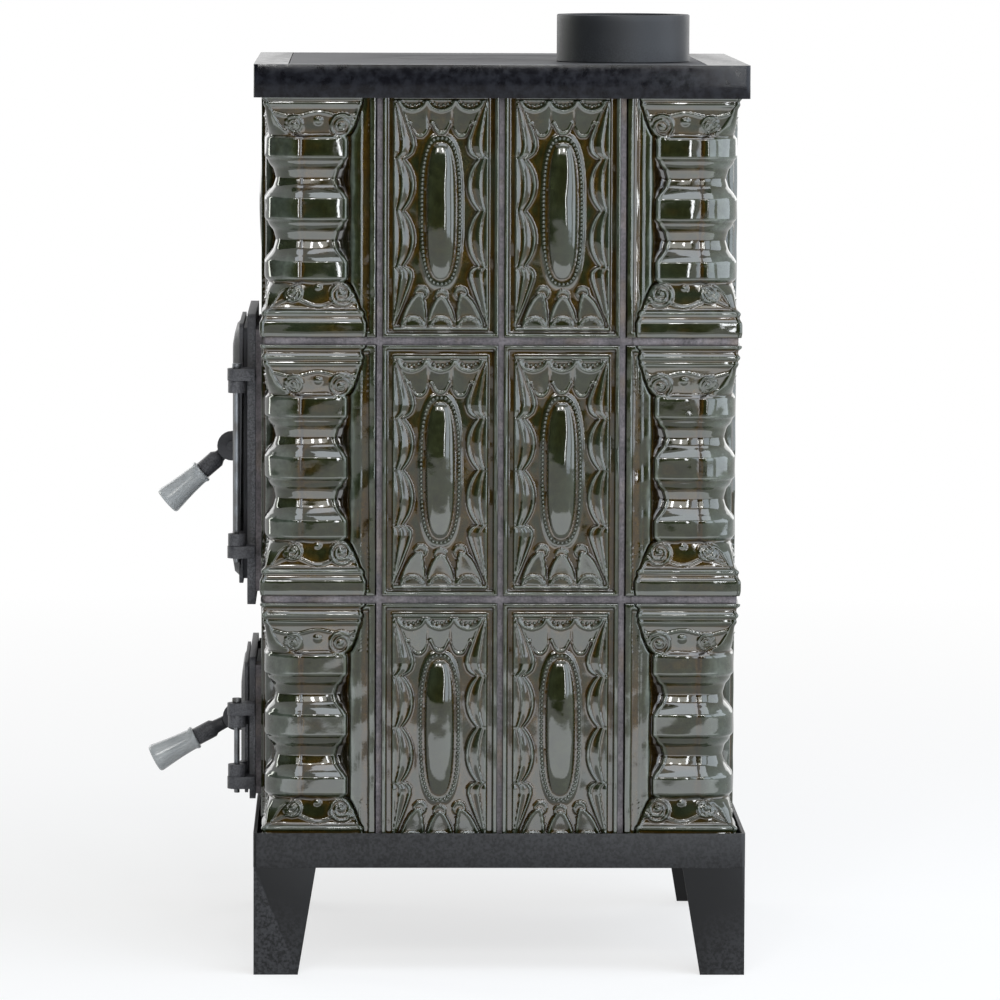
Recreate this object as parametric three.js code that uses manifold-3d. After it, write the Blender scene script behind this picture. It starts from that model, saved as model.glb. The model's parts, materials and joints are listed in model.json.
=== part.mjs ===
// Tiled stove: a small solid-fuel room stove with a jacket of moulded glazed tiles, an iron frame at
// its foot and head, two hinged doors on one side, a cooking hob and a flue collar on top.
// Millimetres, +Z up. The doors are on the -X side, and a plain tiled side faces -Y.
import * as THREE from "three";
import { mergeVertices } from "three/addons/utils/BufferGeometryUtils.js";
import Module from "manifold-3d";

const wasm = await Module();
wasm.setup();

// Clearances
const seat = 0.3; // between a piece and what it stands on or beside
const running = 0.3; // radial, round a pin
const slack = 1.2; // round a plate that is laid in loose
const weld = 1; // how far a joined shape reaches into the one that carries it

// Tile jacket
const tileWidth = 101;
const tileHeight = 220;
const tileDepth = 20; // face border to back
const upright = 5.3; // mortar joint between two tiles
const bed = 7; // mortar joint between two rows
const rows = 3;
const border = 3.2; // raised rim of a tile
const panelInset = 13.5; // tile edge to the inner raised line
const panelLine = 2.4;
const lineDrop = 1; // top of the inner raised line behind the rim
const relief = 4; // rim above the ground of the tile
const boss = { width: 33, height: 120, rise: 5 };

// Corner column
const drumRadius = 36.6;
const waistRadius = 26.8;
const waistSteps = [0.36, 0.64]; // where a waist is at its narrowest, as shares of the way between drums
const columnReach = 2.4; // drum front behind the tile rim
const drums = [
  { middle: 57.5, height: 16 },
  { middle: 111.5, height: 21 },
  { middle: 165, height: 18 },
];
const capHeight = 23.5; // top and bottom mouldings of the corner tile
const scrollHeight = 23.5; // flared block between moulding and column
const capHalf = 46.5;
const scrollHalf = 38;
const capReach = 1; // top and bottom mouldings beyond the tile rims
const drumFlat = 0.46; // width of a drum's flats, as a share of the whole drum
const notchIn = 82.95; // end of the flat of a corner tile, behind the rims of the side next to it
const notchDeep = 53.95;
const cornerWall = 18;

// Iron frame
const legHeight = 95;
const legTop = 55;
const legFoot = 39;
const sheet = 3;
const bandReach = 6.5; // frame bands beyond the tile rims
const baseBand = 30.5;
const mortarBed = 10;
const headBand = 29;
const headCover = 18; // top of the tiles to the top of the stove

// Hob
const hobLeft = 30; // flange of the head frame over the doors
const hobRight = 37;
const hobEnd = 10;
const hobThickness = 8.2;
const hobLedge = 10;
const ringAt = { x: -10, y: 25 };
const ringOpening = 80;
const ringLip = 5;
const ringStep = 25; // width of one ring
const ringLipThickness = 4;
const flueAt = { x: 110, y: -86 };
const flueRadius = 59;
const flueWall = 5;
const flueHeight = 42;

// Masonry
const pitHalf = 78; // ash pit, half width
const fireHalf = 112; // fire chamber before its lining, half width
const lining = 25;
const liningDrop = 2; // top of the lining below the upper row
const stripLap = 6; // how far a door frame covers the strip tile beside it
const jointSink = 2.5; // mortar behind the rims of the tiles
const grateDrop = 39; // underside of the grate below the middle row
const grateThickness = 10;
const grateSlots = { count: 9, share: 0.48, edge: 12 };
const ductDrop = 47; // floor of the gas duct below the top of the tiles
const ductRight = 160;
const pitBack = 100;

// Doors
const frameHalf = 104;
const frameOff = 6.25; // back of both door frames beyond the tile rims
const throatIn = 34; // edge of the frame to the opening
const throatWall = 5;
const hingeOut = 11; // pin beyond the edge of the frame
const pinOff = 16.4; // hinge pin in front of the back of the frames
const pinRadius = 2.5;
const eyeRadius = 8.5;
const lug = 11; // height of one hinge lug
const leafIn = { hinge: 10, free: 18 }; // edges of a leaf behind the edges of its frame
const leafSeat = 4; // edge of a leaf to the step that closes on the frame
const earThickness = 5;
const hubThickness = 7;
const lip = { out: 7, thickness: 1.7, rise: 4.4, under: 9.5, over: 13.5, root: 15 }; // of the keeper
const tooth = { rise: 4, clear: 1, width: 2.3, depth: 5 }; // of the latch, behind the lip
const stem = { root: 5.8, neck: 6.2, collar: 8.2, collarLength: 17 };
const grip = { rim: 11, end: 13.25, length: 44, tang: 3 };

const fireLevels = {
  // above the foot of the middle row
  frameBottom: -20,
  frameTop: 240,
  openBottom: 17,
  openTop: 211,
  leafBottom: -2,
  leafTop: 231,
  upperLug: 171,
  lowerLug: 23.6,
  pinHead: 197,
  latch: 107,
};
const ashLevels = {
  // above the foot of the lower row
  frameBottom: 32,
  frameTop: 160,
  openBottom: 46.5,
  openTop: 144,
  leafBottom: 36,
  leafTop: 154,
  upperLug: 99,
  lowerLug: 44,
  pinHead: 125,
  latch: 83.3,
};
const fireSizes = {
  name: "fire",
  frameThickness: 7.4,
  openCorner: 6,
  throatDepth: 98,
  rimBack: 11.3, // these three and the latch in front of the back of the frames
  rimFront: 14.8,
  front: 20.8,
  latch: { out: 24.6, ear: 13.6, droop: 41, reach: 36 },
};
const ashSizes = {
  name: "ash",
  frameThickness: 5.3,
  openCorner: 0,
  throatDepth: 98,
  rimBack: 7.1,
  rimFront: 9.8,
  front: 13.2,
  latch: { out: 20.5, ear: 12.6, droop: 28, reach: 42 },
};
const airSlots = { count: 5, width: 7, height: 30, pitch: 19 };
const slide = { length: 100, height: 44, thickness: 2.5, travel: 18, slots: 88, middle: 90 };
const slideRail = { wall: 2, hook: 2.5 };
const pan = { length: 262, side: 3, height: 48, wall: 1.5, behind: 38.2, pull: 14 };

// Worked out from the above
const tilesAcross = 4;
const field = (tilesAcross * tileWidth + (tilesAcross - 1) * upright) / 2;
const tileBack = field - tileDepth;
const ground = field - relief;
const bandOut = field + bandReach;
const tileFoot = legHeight + sheet + mortarBed;
const rowLevel = (row) => tileFoot + row * (tileHeight + bed);
const tileTop = rowLevel(rows - 1) + tileHeight;
const top = tileTop + headCover;
const coreOut = tileBack - seat;
const columnAxis = field - columnReach - drumRadius;
const notchEdge = field - notchIn;
const notchFloor = field - notchDeep;
const frameBack = field + frameOff;
const throatHalf = frameHalf - throatIn;
const pinX = -frameBack - pinOff;
const leaf = {
  hinge: leafIn.hinge - frameHalf,
  free: frameHalf - leafIn.free,
  corner: 9,
  rim: 5,
  slope: 14,
  wall: 5,
};
const grateLevel = rowLevel(1) - grateDrop;
const liningTop = rowLevel(rows - 1) - liningDrop;
const gasDuct = { bottom: tileTop - ductDrop, right: ductRight };
const fireDoor = hung(fireSizes, fireLevels, rowLevel(1));
const ashDoor = hung(ashSizes, ashLevels, tileFoot);
const slideLevel = tileFoot + slide.slots;
const slideMiddle = tileFoot + slide.middle;
const panBack = pan.behind + pan.length - frameBack;
const panWidth = 2 * (throatHalf - pan.side);
const cornerEdge = field - tileWidth;
const pinY = -frameHalf - hingeOut;
const faceOf = (door) => -frameBack - door.frameThickness;
const leafMiddle = (leaf.hinge + leaf.free) / 2;
const slotMiddle = (i) => (i - (airSlots.count - 1) / 2) * airSlots.pitch + leafMiddle;
const tabAt = leafMiddle - slide.travel / 2;
const tabLevel = slideLevel + airSlots.height / 2 + 5;

// Colours
const finish = {
  glaze: { color: "#5b5f45", roughness: 0.22, metalness: 0 },
  mortar: { color: "#7b7477", roughness: 0.95, metalness: 0 },
  chamotte: { color: "#b79a74", roughness: 0.95, metalness: 0 },
  iron: { color: "#4b4b4f", roughness: 0.62, metalness: 0.35 },
  darkSheet: { color: "#3b3b3c", roughness: 0.5, metalness: 0.3 },
  gloss: { color: "#232329", roughness: 0.15, metalness: 0.1 },
  hob: { color: "#767678", roughness: 0.6, metalness: 0.5 },
  charcoal: { color: "#3a3c41", roughness: 0.6, metalness: 0.3 },
  porcelain: { color: "#bfc1c3", roughness: 0.25, metalness: 0 },
  steel: { color: "#6c6f73", roughness: 0.45, metalness: 0.8 },
};

// A door with its levels from the floor and its faces from the centre of the stove.
function hung(door, levels, foot) {
  const placed = { ...door };
  for (const [name, level] of Object.entries(levels)) placed[name] = foot + level;
  for (const name of ["rimBack", "rimFront", "front"]) placed[name] = frameBack + door[name];
  placed.latch = { ...door.latch, x: -frameBack - door.latch.out, z: foot + levels.latch };
  return placed;
}

// ---- Shapes and solids ----

function solid(geometry) {
  const bare = geometry.index ? geometry.toNonIndexed() : geometry.clone();
  bare.deleteAttribute("normal");
  bare.deleteAttribute("uv");
  const merged = mergeVertices(bare, 1e-3);
  const all = merged.index.array;
  const kept = [];
  for (let i = 0; i < all.length; i += 3) {
    const [a, b, c] = [all[i], all[i + 1], all[i + 2]];
    if (a !== b && b !== c && c !== a) kept.push(a, b, c);
  }
  return new wasm.Manifold(
    new wasm.Mesh({
      numProp: 3,
      vertProperties: merged.attributes.position.array,
      triVerts: new Uint32Array(kept),
    }),
  );
}

function geometryOf(body) {
  const mesh = body.getMesh();
  const geometry = new THREE.BufferGeometry();
  geometry.setAttribute("position", new THREE.BufferAttribute(mesh.vertProperties, 3));
  geometry.setIndex(new THREE.BufferAttribute(mesh.triVerts, 1));
  const flat = geometry.toNonIndexed();
  flat.computeVertexNormals();
  return flat;
}

const join = (...bodies) => bodies.reduce((all, body) => all.add(body));
const cut = (body, ...tools) => tools.reduce((all, tool) => all.subtract(tool), body);

function block(x0, x1, y0, y1, z0, z1) {
  const box = new THREE.BoxGeometry(x1 - x0, y1 - y0, z1 - z0);
  return solid(box.translate((x0 + x1) / 2, (y0 + y1) / 2, (z0 + z1) / 2));
}

const polygon = (...points) => new THREE.Shape(points.map(([u, v]) => new THREE.Vector2(u, v)));

function rectangle(u0, u1, v0, v1, radius = 0, kind = THREE.Shape) {
  const path = new kind();
  const r = radius;
  path.moveTo(u0 + r, v0);
  path.lineTo(u1 - r, v0);
  if (r) path.absarc(u1 - r, v0 + r, r, -Math.PI / 2, 0);
  path.lineTo(u1, v1 - r);
  if (r) path.absarc(u1 - r, v1 - r, r, 0, Math.PI / 2);
  path.lineTo(u0 + r, v1);
  if (r) path.absarc(u0 + r, v1 - r, r, Math.PI / 2, Math.PI);
  path.lineTo(u0, v0 + r);
  if (r) path.absarc(u0 + r, v0 + r, r, Math.PI, 1.5 * Math.PI);
  return path;
}

function disc(u, v, radius, kind = THREE.Shape) {
  const path = new kind();
  path.absarc(u, v, radius, 0, 2 * Math.PI);
  return path;
}

function extruded(shape, depth, options = {}) {
  const settings = { depth, bevelEnabled: false, curveSegments: 3, ...options };
  return new THREE.ExtrudeGeometry(shape, settings);
}

const prismZ = (shape, z0, z1, options) =>
  solid(extruded(shape, z1 - z0, options).translate(0, 0, z0));

// A shape in X and Z, drawn out along Y.
const prismY = (shape, y0, y1, options) =>
  solid(extruded(shape, y1 - y0, options).rotateX(Math.PI / 2).translate(0, y1, 0));

// A shape in Y and Z, drawn out along X.
const swing = new THREE.Matrix4().makeBasis(
  new THREE.Vector3(0, 1, 0),
  new THREE.Vector3(0, 0, 1),
  new THREE.Vector3(1, 0, 0),
);
const prismX = (shape, x0, x1, options) =>
  solid(extruded(shape, x1 - x0, options).applyMatrix4(swing).translate(x0, 0, 0));

// A profile of [radius, height] pairs turned about the Z axis.
function turned(profile, segments) {
  const points = profile.map(([radius, height]) => new THREE.Vector2(radius, height));
  return new THREE.LatheGeometry(points, segments).rotateX(Math.PI / 2);
}

const pinAlongZ = (x, y, radius, z0, z1, segments = 12) =>
  solid(
    new THREE.CylinderGeometry(radius, radius, z1 - z0, segments)
      .rotateX(Math.PI / 2)
      .translate(x, y, (z0 + z1) / 2),
  );

const pinAlongY = (x, z, radius, y0, y1, segments = 16) =>
  solid(
    new THREE.CylinderGeometry(radius, radius, y1 - y0, segments).translate(x, (y0 + y1) / 2, z),
  );

function piece(name, body, look) {
  const geometry = body.isBufferGeometry ? body : geometryOf(body);
  const mesh = new THREE.Mesh(geometry, new THREE.MeshStandardMaterial(look));
  mesh.name = name;
  return mesh;
}

// ---- Tiles ----

// A frame of the given width, standing on the ground of a flat tile.
function raisedFrame(u0, u1, v0, v1, width, from, to) {
  const shape = rectangle(u0, u1, v0, v1);
  shape.holes.push(rectangle(u0 + width, u1 - width, v0 + width, v1 - width, 0, THREE.Path));
  return prismY(shape, from, to);
}

// A half tile stands upright with its face to -Y, its middle on X = 0 and its foot on Z = 0.
function halfTile() {
  const half = tileWidth / 2;
  const body = block(-half, half, -ground, -tileBack, 0, tileHeight);
  const rim = raisedFrame(-half, half, 0, tileHeight, border, -field, weld - ground);
  const line = raisedFrame(
    -half + panelInset,
    half - panelInset,
    panelInset,
    tileHeight - panelInset,
    panelLine,
    lineDrop - field,
    weld - ground,
  );
  const oval = new THREE.SphereGeometry(1, 14, 4)
    .scale(boss.width / 2, boss.rise, boss.height / 2)
    .translate(0, -ground, tileHeight / 2);
  return geometryOf(join(body, rim, line, solid(oval)));
}

// A cut strip of a whole tile, as wide as two half tiles and their joint.
function stripTile(z0, z1) {
  const half = tileWidth + upright / 2;
  const body = block(-half, half, -ground, -tileBack, z0, z1);
  const rim = raisedFrame(-half, half, z0, z1, border, -field, weld - ground);
  return geometryOf(join(body, rim));
}

// The back of a corner tile, which the masonry follows at the given gap.
function cornerBack(gap, outside) {
  const back = tileBack - gap;
  const side = notchEdge - cornerWall / 3 - gap;
  const inner = notchFloor - cornerWall - 6 - gap;
  return [
    [outside, side],
    [back, side],
    [inner, inner],
    [side, back],
    [side, outside],
  ];
}

// The column: drums with hollow waists between them, turned and then flattened on eight sides.
function column() {
  const foot = capHeight + scrollHeight / 2;
  const head = tileHeight - foot;
  const neck = (drumRadius + waistRadius) / 2;
  const profile = [
    [0, foot],
    [neck, foot],
  ];
  drums.forEach((drum, i) => {
    const low = drum.middle - drum.height / 2;
    const high = drum.middle + drum.height / 2;
    profile.push([drumRadius, low], [drumRadius, high]);
    const next = drums[i + 1];
    if (!next) return;
    const end = next.middle - next.height / 2;
    for (const t of waistSteps) profile.push([waistRadius, high + (end - high) * t]);
  });
  profile.push([neck, head], [0, head]);
  const geometry = turned(profile, 8).rotateZ(Math.PI / 8);
  const place = geometry.attributes.position;
  for (let i = 0; i < place.count; i++) {
    const [x, y] = [place.getX(i), place.getY(i)];
    const radius = Math.hypot(x, y);
    const [alongX, alongY] = Math.abs(x) > Math.abs(y) ? [1, drumFlat] : [drumFlat, 1];
    place.setXY(i, Math.sign(x) * radius * alongX, Math.sign(y) * radius * alongY);
  }
  return geometry;
}

// A square block with moulded sides: a four-sided turning of [half side, height] pairs.
function moulded(middle, profile) {
  const corners = profile.map(([half, height]) => [half * Math.SQRT2, height]);
  const closed = [[0, corners[0][1]], ...corners, [0, corners.at(-1)[1]]];
  return solid(turned(closed, 4).rotateZ(Math.PI / 4).translate(middle, middle, 0));
}

// A cheek of a corner tile in plan, from its mortar joint to the notch that the column stands in.
function cheek() {
  const line = cornerEdge + panelInset;
  return [
    [tileBack, cornerEdge],
    [field, cornerEdge],
    [field, cornerEdge + border],
    [ground, cornerEdge + border],
    [ground, line],
    [field - lineDrop, line],
    [field - lineDrop, line + panelLine],
    [ground, line + panelLine],
    [ground, notchEdge],
    [ground - cornerWall, notchEdge + cornerWall],
  ];
}

// A corner tile turns the corner at +X and +Y: two flat cheeks with a column standing between them.
function cornerTile() {
  const swapped = ([x, y]) => [y, x];
  const back = cornerBack(0, tileBack).slice(1, 4);
  const wall = polygon(
    ...cheek(),
    [notchFloor, notchFloor],
    ...cheek().map(swapped).reverse(),
    ...back.map(swapped),
  );
  const inside = polygon([0, 0], [tileBack, 0], ...back, [0, tileBack]);
  const shaft = solid(column().translate(columnAxis, columnAxis, 0));
  const moulding = [
    [capHalf, 0],
    [capHalf, capHeight * 0.4],
    [capHalf - 3, capHeight * 0.55],
    [capHalf - 1.5, capHeight * 0.8],
    [scrollHalf, capHeight + scrollHeight],
  ];
  const hung = moulding.map(([half, height]) => [half, tileHeight - height]).reverse();
  const middle = field + capReach - capHalf;
  const turnedPart = cut(
    join(shaft, moulded(middle, moulding), moulded(middle, hung)),
    prismZ(inside, -1, tileHeight + 1),
  );
  return geometryOf(join(prismZ(wall, 0, tileHeight), turnedPart));
}

// Places a piece that faces -Y on one of the four sides.
const sides = { near: 0, right: 1, far: 2, left: 3 };
function turnedTo(side, mesh) {
  const holder = new THREE.Group();
  holder.rotation.z = (sides[side] * Math.PI) / 2;
  holder.add(mesh);
  return holder;
}

function jacket() {
  const group = new THREE.Group();
  const half = halfTile();
  const corner = cornerTile();
  const cornerNames = ["far_right", "far_left", "near_left", "near_right"];
  const rowNames = ["lower", "middle", "upper"];
  for (let row = 0; row < rows; row++) {
    cornerNames.forEach((name, turn) => {
      const tile = piece(`corner_tile_${name}_${rowNames[row]}`, corner, finish.glaze);
      tile.rotation.z = (turn * Math.PI) / 2;
      tile.position.z = rowLevel(row);
      group.add(tile);
    });
    for (const side of Object.keys(sides)) {
      if (side === "left" && row < rows - 1) continue;
      [-1, 1].forEach((hand, i) => {
        const name = `tile_${side}_${rowNames[row]}_${i + 1}`;
        const tile = piece(name, half, finish.glaze);
        tile.position.set((hand * (tileWidth + upright)) / 2, 0, rowLevel(row));
        group.add(turnedTo(side, tile));
      });
    }
  }
  const low = stripTile(rowLevel(0), ashDoor.frameBottom + stripLap);
  const high = stripTile(ashDoor.frameTop - stripLap, rowLevel(0) + tileHeight);
  group.add(turnedTo("left", piece("strip_tile_below_ash_door", low, finish.glaze)));
  group.add(turnedTo("left", piece("strip_tile_between_doors", high, finish.glaze)));
  return group;
}

// ---- Masonry ----

// The whole of the mortar and brick filling, with the joints that it sends out between the tiles.
function filling() {
  const cover = top - hobThickness - sheet - 2 * seat;
  const jointReach = field - jointSink;
  const body = [
    block(-coreOut, coreOut, -coreOut, coreOut, tileFoot, tileTop + 1),
    block(-jointReach, jointReach, -jointReach, jointReach, tileTop + seat, cover),
  ];
  for (let row = 1; row < rows; row++) {
    const level = rowLevel(row) - bed;
    body.push(
      block(-jointReach, jointReach, -jointReach, jointReach, level + seat, level + bed - seat),
    );
  }
  const jointHalf = upright / 2 - seat;
  for (const at of [-1, 0, 1]) {
    const middle = at * (tileWidth + upright);
    const [low, high] = [middle - jointHalf, middle + jointHalf];
    body.push(block(low, high, -jointReach, jointReach, tileFoot, tileTop + 1));
    body.push(block(0, jointReach, low, high, tileFoot, tileTop + 1));
    if (at) body.push(block(-jointReach, 0, low, high, tileFoot, tileTop + 1));
  }
  // the joint between the two half tiles over the fire door
  const overDoor = rowLevel(rows - 1) - 1;
  body.push(block(-jointReach, 0, -jointHalf, jointHalf, overDoor, tileTop + 1));
  // mortar behind the door frames
  const fill = cornerEdge - seat;
  const fillBack = frameBack - seat;
  body.push(block(-fillBack, 0, -fill, fill, rowLevel(1) - bed + seat, rowLevel(2) - seat));
  const ashLow = ashDoor.frameBottom + stripLap + seat;
  const ashHigh = ashDoor.frameTop - stripLap - seat;
  body.push(block(-fillBack, 0, -fill, fill, ashLow, ashHigh));

  const beyond = field + tileDepth;
  const corners = [0, 1, 2, 3].map((turn) => {
    const plan = polygon(...cornerBack(seat, beyond), [beyond, beyond]);
    const tall = extruded(plan, tileTop + seat - legHeight).translate(0, 0, legHeight);
    return solid(tall.rotateZ((turn * Math.PI) / 2));
  });
  const holes = [
    block(-fireHalf, fireHalf, -fireHalf, fireHalf, grateLevel - seat, top),
    block(-fireHalf, gasDuct.right, -fireHalf, fireHalf, gasDuct.bottom, top),
    block(-frameBack, pitBack, -pitHalf, pitHalf, ashDoor.openBottom, grateLevel),
  ];
  for (const door of [fireDoor, ashDoor]) {
    const half = throatHalf + throatWall + seat;
    const low = door.openBottom - throatWall - seat;
    const high = door.openTop + throatWall + seat;
    holes.push(block(-frameBack, -fireHalf + 1, -half, half, low, high));
  }
  return cut(join(...body), ...corners, ...holes);
}

// The filling is laid as a foot under the ash pit and four walls round the fire chamber.
function masonry() {
  const whole = filling();
  const spread = bandOut - sheet - seat;
  const out = bandOut; // no part of the filling reaches as far
  const within = fireHalf - seat; // ends of the two walls that stand between the long ones
  const floorHalf = pitHalf - seat;
  const part = (...box) => whole.intersect(block(...box));
  const lay = (name, ...bodies) => piece(`masonry_${name}`, join(...bodies), finish.mortar);
  return [
    lay(
      "foot",
      block(-spread, spread, -spread, spread, legHeight + sheet + seat, tileFoot - seat),
      block(-within, pitBack - seat, -floorHalf, floorHalf, tileFoot - 1, ashDoor.openBottom),
    ),
    lay(
      "near_wall",
      part(-out, out, -out, -fireHalf, tileFoot, top),
      part(-within, within, -out, -pitHalf, tileFoot, grateLevel),
    ),
    lay(
      "far_wall",
      part(-out, out, fireHalf, out, tileFoot, top),
      part(-within, within, pitHalf, out, tileFoot, grateLevel),
    ),
    lay("door_wall", part(-out, -fireHalf, -within, within, tileFoot, top)),
    lay(
      "right_wall",
      part(fireHalf, out, -within, within, tileFoot, top),
      part(pitBack, fireHalf + weld, -floorHalf, floorHalf, tileFoot, grateLevel),
    ),
  ];
}

function fireboxLining() {
  const out = fireHalf - seat;
  const inner = out - lining;
  const low = grateLevel;
  const ring = cut(
    block(-out, out, -out, out, low, liningTop),
    block(-inner, inner, -inner, inner, low - 1, liningTop + 1),
    block(-out - 1, 0, -throatHalf, throatHalf, fireDoor.openBottom, fireDoor.openTop),
  );
  return piece("firebox_lining", ring, finish.chamotte);
}

function grate() {
  const half = fireHalf - seat - lining - seat;
  const shape = rectangle(-half, half, -half, half);
  const { count, share, edge } = grateSlots;
  const reach = half - edge;
  const pitch = (2 * reach) / (count - 1 + share);
  for (let i = 0; i < count; i++) {
    const low = -reach + pitch * i;
    shape.holes.push(rectangle(-reach, reach, low, low + pitch * share, 0, THREE.Path));
  }
  const bars = prismZ(shape, grateLevel, grateLevel + grateThickness);
  const rib = block(-4, 4, -reach, reach, grateLevel, grateLevel + grateThickness - 2);
  return piece("grate", join(bars, rib), finish.iron);
}

function ashPan() {
  const low = ashDoor.openBottom + seat;
  const high = low + pan.height;
  const half = panWidth / 2;
  const front = panBack - pan.length;
  const w = pan.wall;
  const tray = cut(
    block(front, panBack, -half, half, low, high),
    block(front + w, panBack - w, -half + w, half - w, low + w, high + 1),
  );
  const tip = high + pan.pull;
  const pull = polygon([-22, high], [22, high], [16, tip], [-16, tip]);
  return piece("ash_pan", join(tray, prismX(pull, front, front + w)), finish.steel);
}

// ---- Iron frame ----

// A folded leg, welded under one corner of the base frame.
function leg() {
  const out = bandOut - seat;
  const high = legHeight + weld;
  const flange = polygon([out, 0], [out, high], [out - legTop, high], [out - legFoot, 0]);
  const alongFace = prismY(flange, out - sheet, out);
  const alongSide = prismX(flange, out - sheet, out);
  const inset = legTop - 8;
  const pad = polygon([out, out], [out - inset, out], [out, out - inset]);
  return join(alongFace, alongSide, prismZ(pad, legHeight - sheet, high));
}

function baseFrame() {
  const low = legHeight;
  const high = low + baseBand;
  const out = rectangle(-bandOut, bandOut, -bandOut, bandOut, 4);
  const inner = bandOut - sheet;
  const tray = cut(prismZ(out, low, high), block(-inner, inner, -inner, inner, low + sheet, high + 1));
  const legs = [0, 90, 180, 270].map((turn) => leg().rotate([0, 0, turn]));
  return piece("base_frame", join(tray, ...legs), finish.darkSheet);
}

function headFrame() {
  const low = top - headBand;
  const inner = bandOut - sheet;
  const under = top - hobThickness - seat; // the ledge that carries the hob
  const open = {
    x0: -bandOut + hobLeft,
    x1: bandOut - hobRight,
    y: bandOut - hobEnd,
  };
  const band = cut(
    prismZ(rectangle(-bandOut, bandOut, -bandOut, bandOut, 4), low, top),
    block(-inner, inner, -inner, inner, low - 1, top - sheet),
  );
  const well = block(
    open.x0 - sheet,
    open.x1 + sheet,
    -open.y - sheet / 2,
    open.y + sheet / 2,
    under - sheet,
    top - 1,
  );
  const hollow = block(open.x0, open.x1, -open.y, open.y, under, top + 1);
  const gap = block(
    open.x0 + hobLedge,
    open.x1 - hobLedge,
    -open.y + hobLedge,
    open.y - hobLedge,
    under - sheet - 1,
    top,
  );
  return piece("head_frame", cut(join(band, well), hollow, gap), finish.gloss);
}

// ---- Hob ----

const ringSteps = [
  ringOpening,
  ringOpening - ringStep,
  ringOpening - 2 * ringStep,
];

function hobPlate() {
  const shape = rectangle(
    -bandOut + hobLeft + slack / 2,
    bandOut - hobRight - slack / 2,
    -bandOut + hobEnd + slack / 2,
    bandOut - hobEnd - slack / 2,
  );
  shape.holes.push(disc(ringAt.x, ringAt.y, ringOpening, THREE.Path));
  shape.holes.push(disc(flueAt.x, flueAt.y, flueRadius - flueWall / 2, THREE.Path));
  const plate = prismZ(shape, top - hobThickness, top, { curveSegments: 12 });
  const rebate = pinAlongZ(
    ringAt.x,
    ringAt.y,
    ringOpening + ringLip,
    top - ringLipThickness,
    top + 1,
    24,
  );
  return piece("hob_plate", cut(plate, rebate), finish.hob);
}

// Each ring hangs by its lip in the one round it and carries the next.
function hobRing(name, order) {
  const outer = ringSteps[order];
  const next = ringSteps[order + 1];
  const foot = top - hobThickness + seat;
  const lipFoot = top - ringLipThickness + seat;
  const profile = [
    [outer - seat, foot],
    [outer - seat, lipFoot],
    [outer + ringLip - seat, lipFoot],
    [outer + ringLip - seat, top],
    [next + ringLip, top],
    [next + ringLip, top - ringLipThickness],
    [next, top - ringLipThickness],
    [next, foot],
    [outer - seat, foot],
  ];
  return piece(name, solid(turned(profile, 24)), finish.hob);
}

function hobLid() {
  const outer = ringSteps.at(-1);
  const foot = top - hobThickness + seat;
  const lipFoot = top - ringLipThickness + seat;
  const profile = [
    [0, foot],
    [outer - seat, foot],
    [outer - seat, lipFoot],
    [outer + ringLip - seat, lipFoot],
    [outer + ringLip - seat, top],
    [0, top],
  ];
  const keyhole = rectangle(-9, 9, -3.5, 3.5, 3.4);
  const pocket = prismZ(keyhole, top - 4, top + 1);
  return piece("hob_lid", cut(solid(turned(profile, 24)), pocket), finish.hob);
}

function flueCollar() {
  const inner = flueRadius - flueWall;
  const neck = flueRadius - flueWall / 2 - seat;
  const rim = 1.2;
  const profile = [
    [inner, -hobThickness],
    [neck, -hobThickness],
    [neck, seat],
    [flueRadius, seat],
    [flueRadius, flueHeight - rim],
    [flueRadius - rim, flueHeight],
    [inner, flueHeight],
    [inner, -hobThickness],
  ];
  const mesh = piece("flue_collar", solid(turned(profile, 24)), finish.charcoal);
  mesh.position.set(flueAt.x, flueAt.y, top);
  return mesh;
}

// ---- Doors ----

// The eye of a lug round the hinge pin, seen from above, with its arm back to the frame.
function frameLug(door, z0) {
  const root = -frameHalf + 4;
  const back = -frameBack - 0.5;
  const shape = new THREE.Shape();
  shape.moveTo(faceOf(door) + weld, root);
  shape.lineTo(back, root);
  shape.lineTo(back, pinY - eyeRadius + 2);
  shape.lineTo(pinX, pinY - eyeRadius);
  shape.absarc(pinX, pinY, eyeRadius, 1.5 * Math.PI, 0.5 * Math.PI, true);
  shape.lineTo(faceOf(door) + weld, root);
  shape.holes.push(disc(pinX, pinY, pinRadius + running, THREE.Path));
  return prismZ(shape, z0, z0 + lug - seat, { curveSegments: 5 });
}

function doorFrame(door) {
  const back = -frameBack;
  const opening = [-throatHalf, throatHalf, door.openBottom, door.openTop];
  const plate = rectangle(-frameHalf, frameHalf, door.frameBottom, door.frameTop, 8);
  plate.holes.push(rectangle(...opening, door.openCorner, THREE.Path));
  const throat = rectangle(
    -throatHalf - throatWall,
    throatHalf + throatWall,
    door.openBottom - throatWall,
    door.openTop + throatWall,
    8,
  );
  throat.holes.push(rectangle(...opening, door.openCorner, THREE.Path));
  return piece(
    `${door.name}_door_frame`,
    join(
      prismX(plate, faceOf(door), back),
      prismX(throat, back - weld, back + door.throatDepth),
      frameLug(door, door.lowerLug),
      frameLug(door, door.upperLug + lug),
      keeper(door),
    ),
    finish.iron,
  );
}

// The catch on the frame: a bracket with a short lip that the latch's tooth rises behind.
function keeper(door) {
  const { z } = door.latch;
  const face = faceOf(door);
  const back = face - lip.out + lip.thickness;
  const shape = polygon(
    [face + weld, z + lip.under],
    [face + weld, z + lip.root],
    [back, z + lip.over],
    [face - lip.out, z + lip.over - lip.thickness],
    [face - lip.out, z + lip.rise],
    [back, z + lip.rise],
    [back, z + lip.under],
  );
  const from = leaf.free + earThickness / 2 + 1;
  return prismY(shape, from, from + hubThickness + 1);
}

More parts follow.
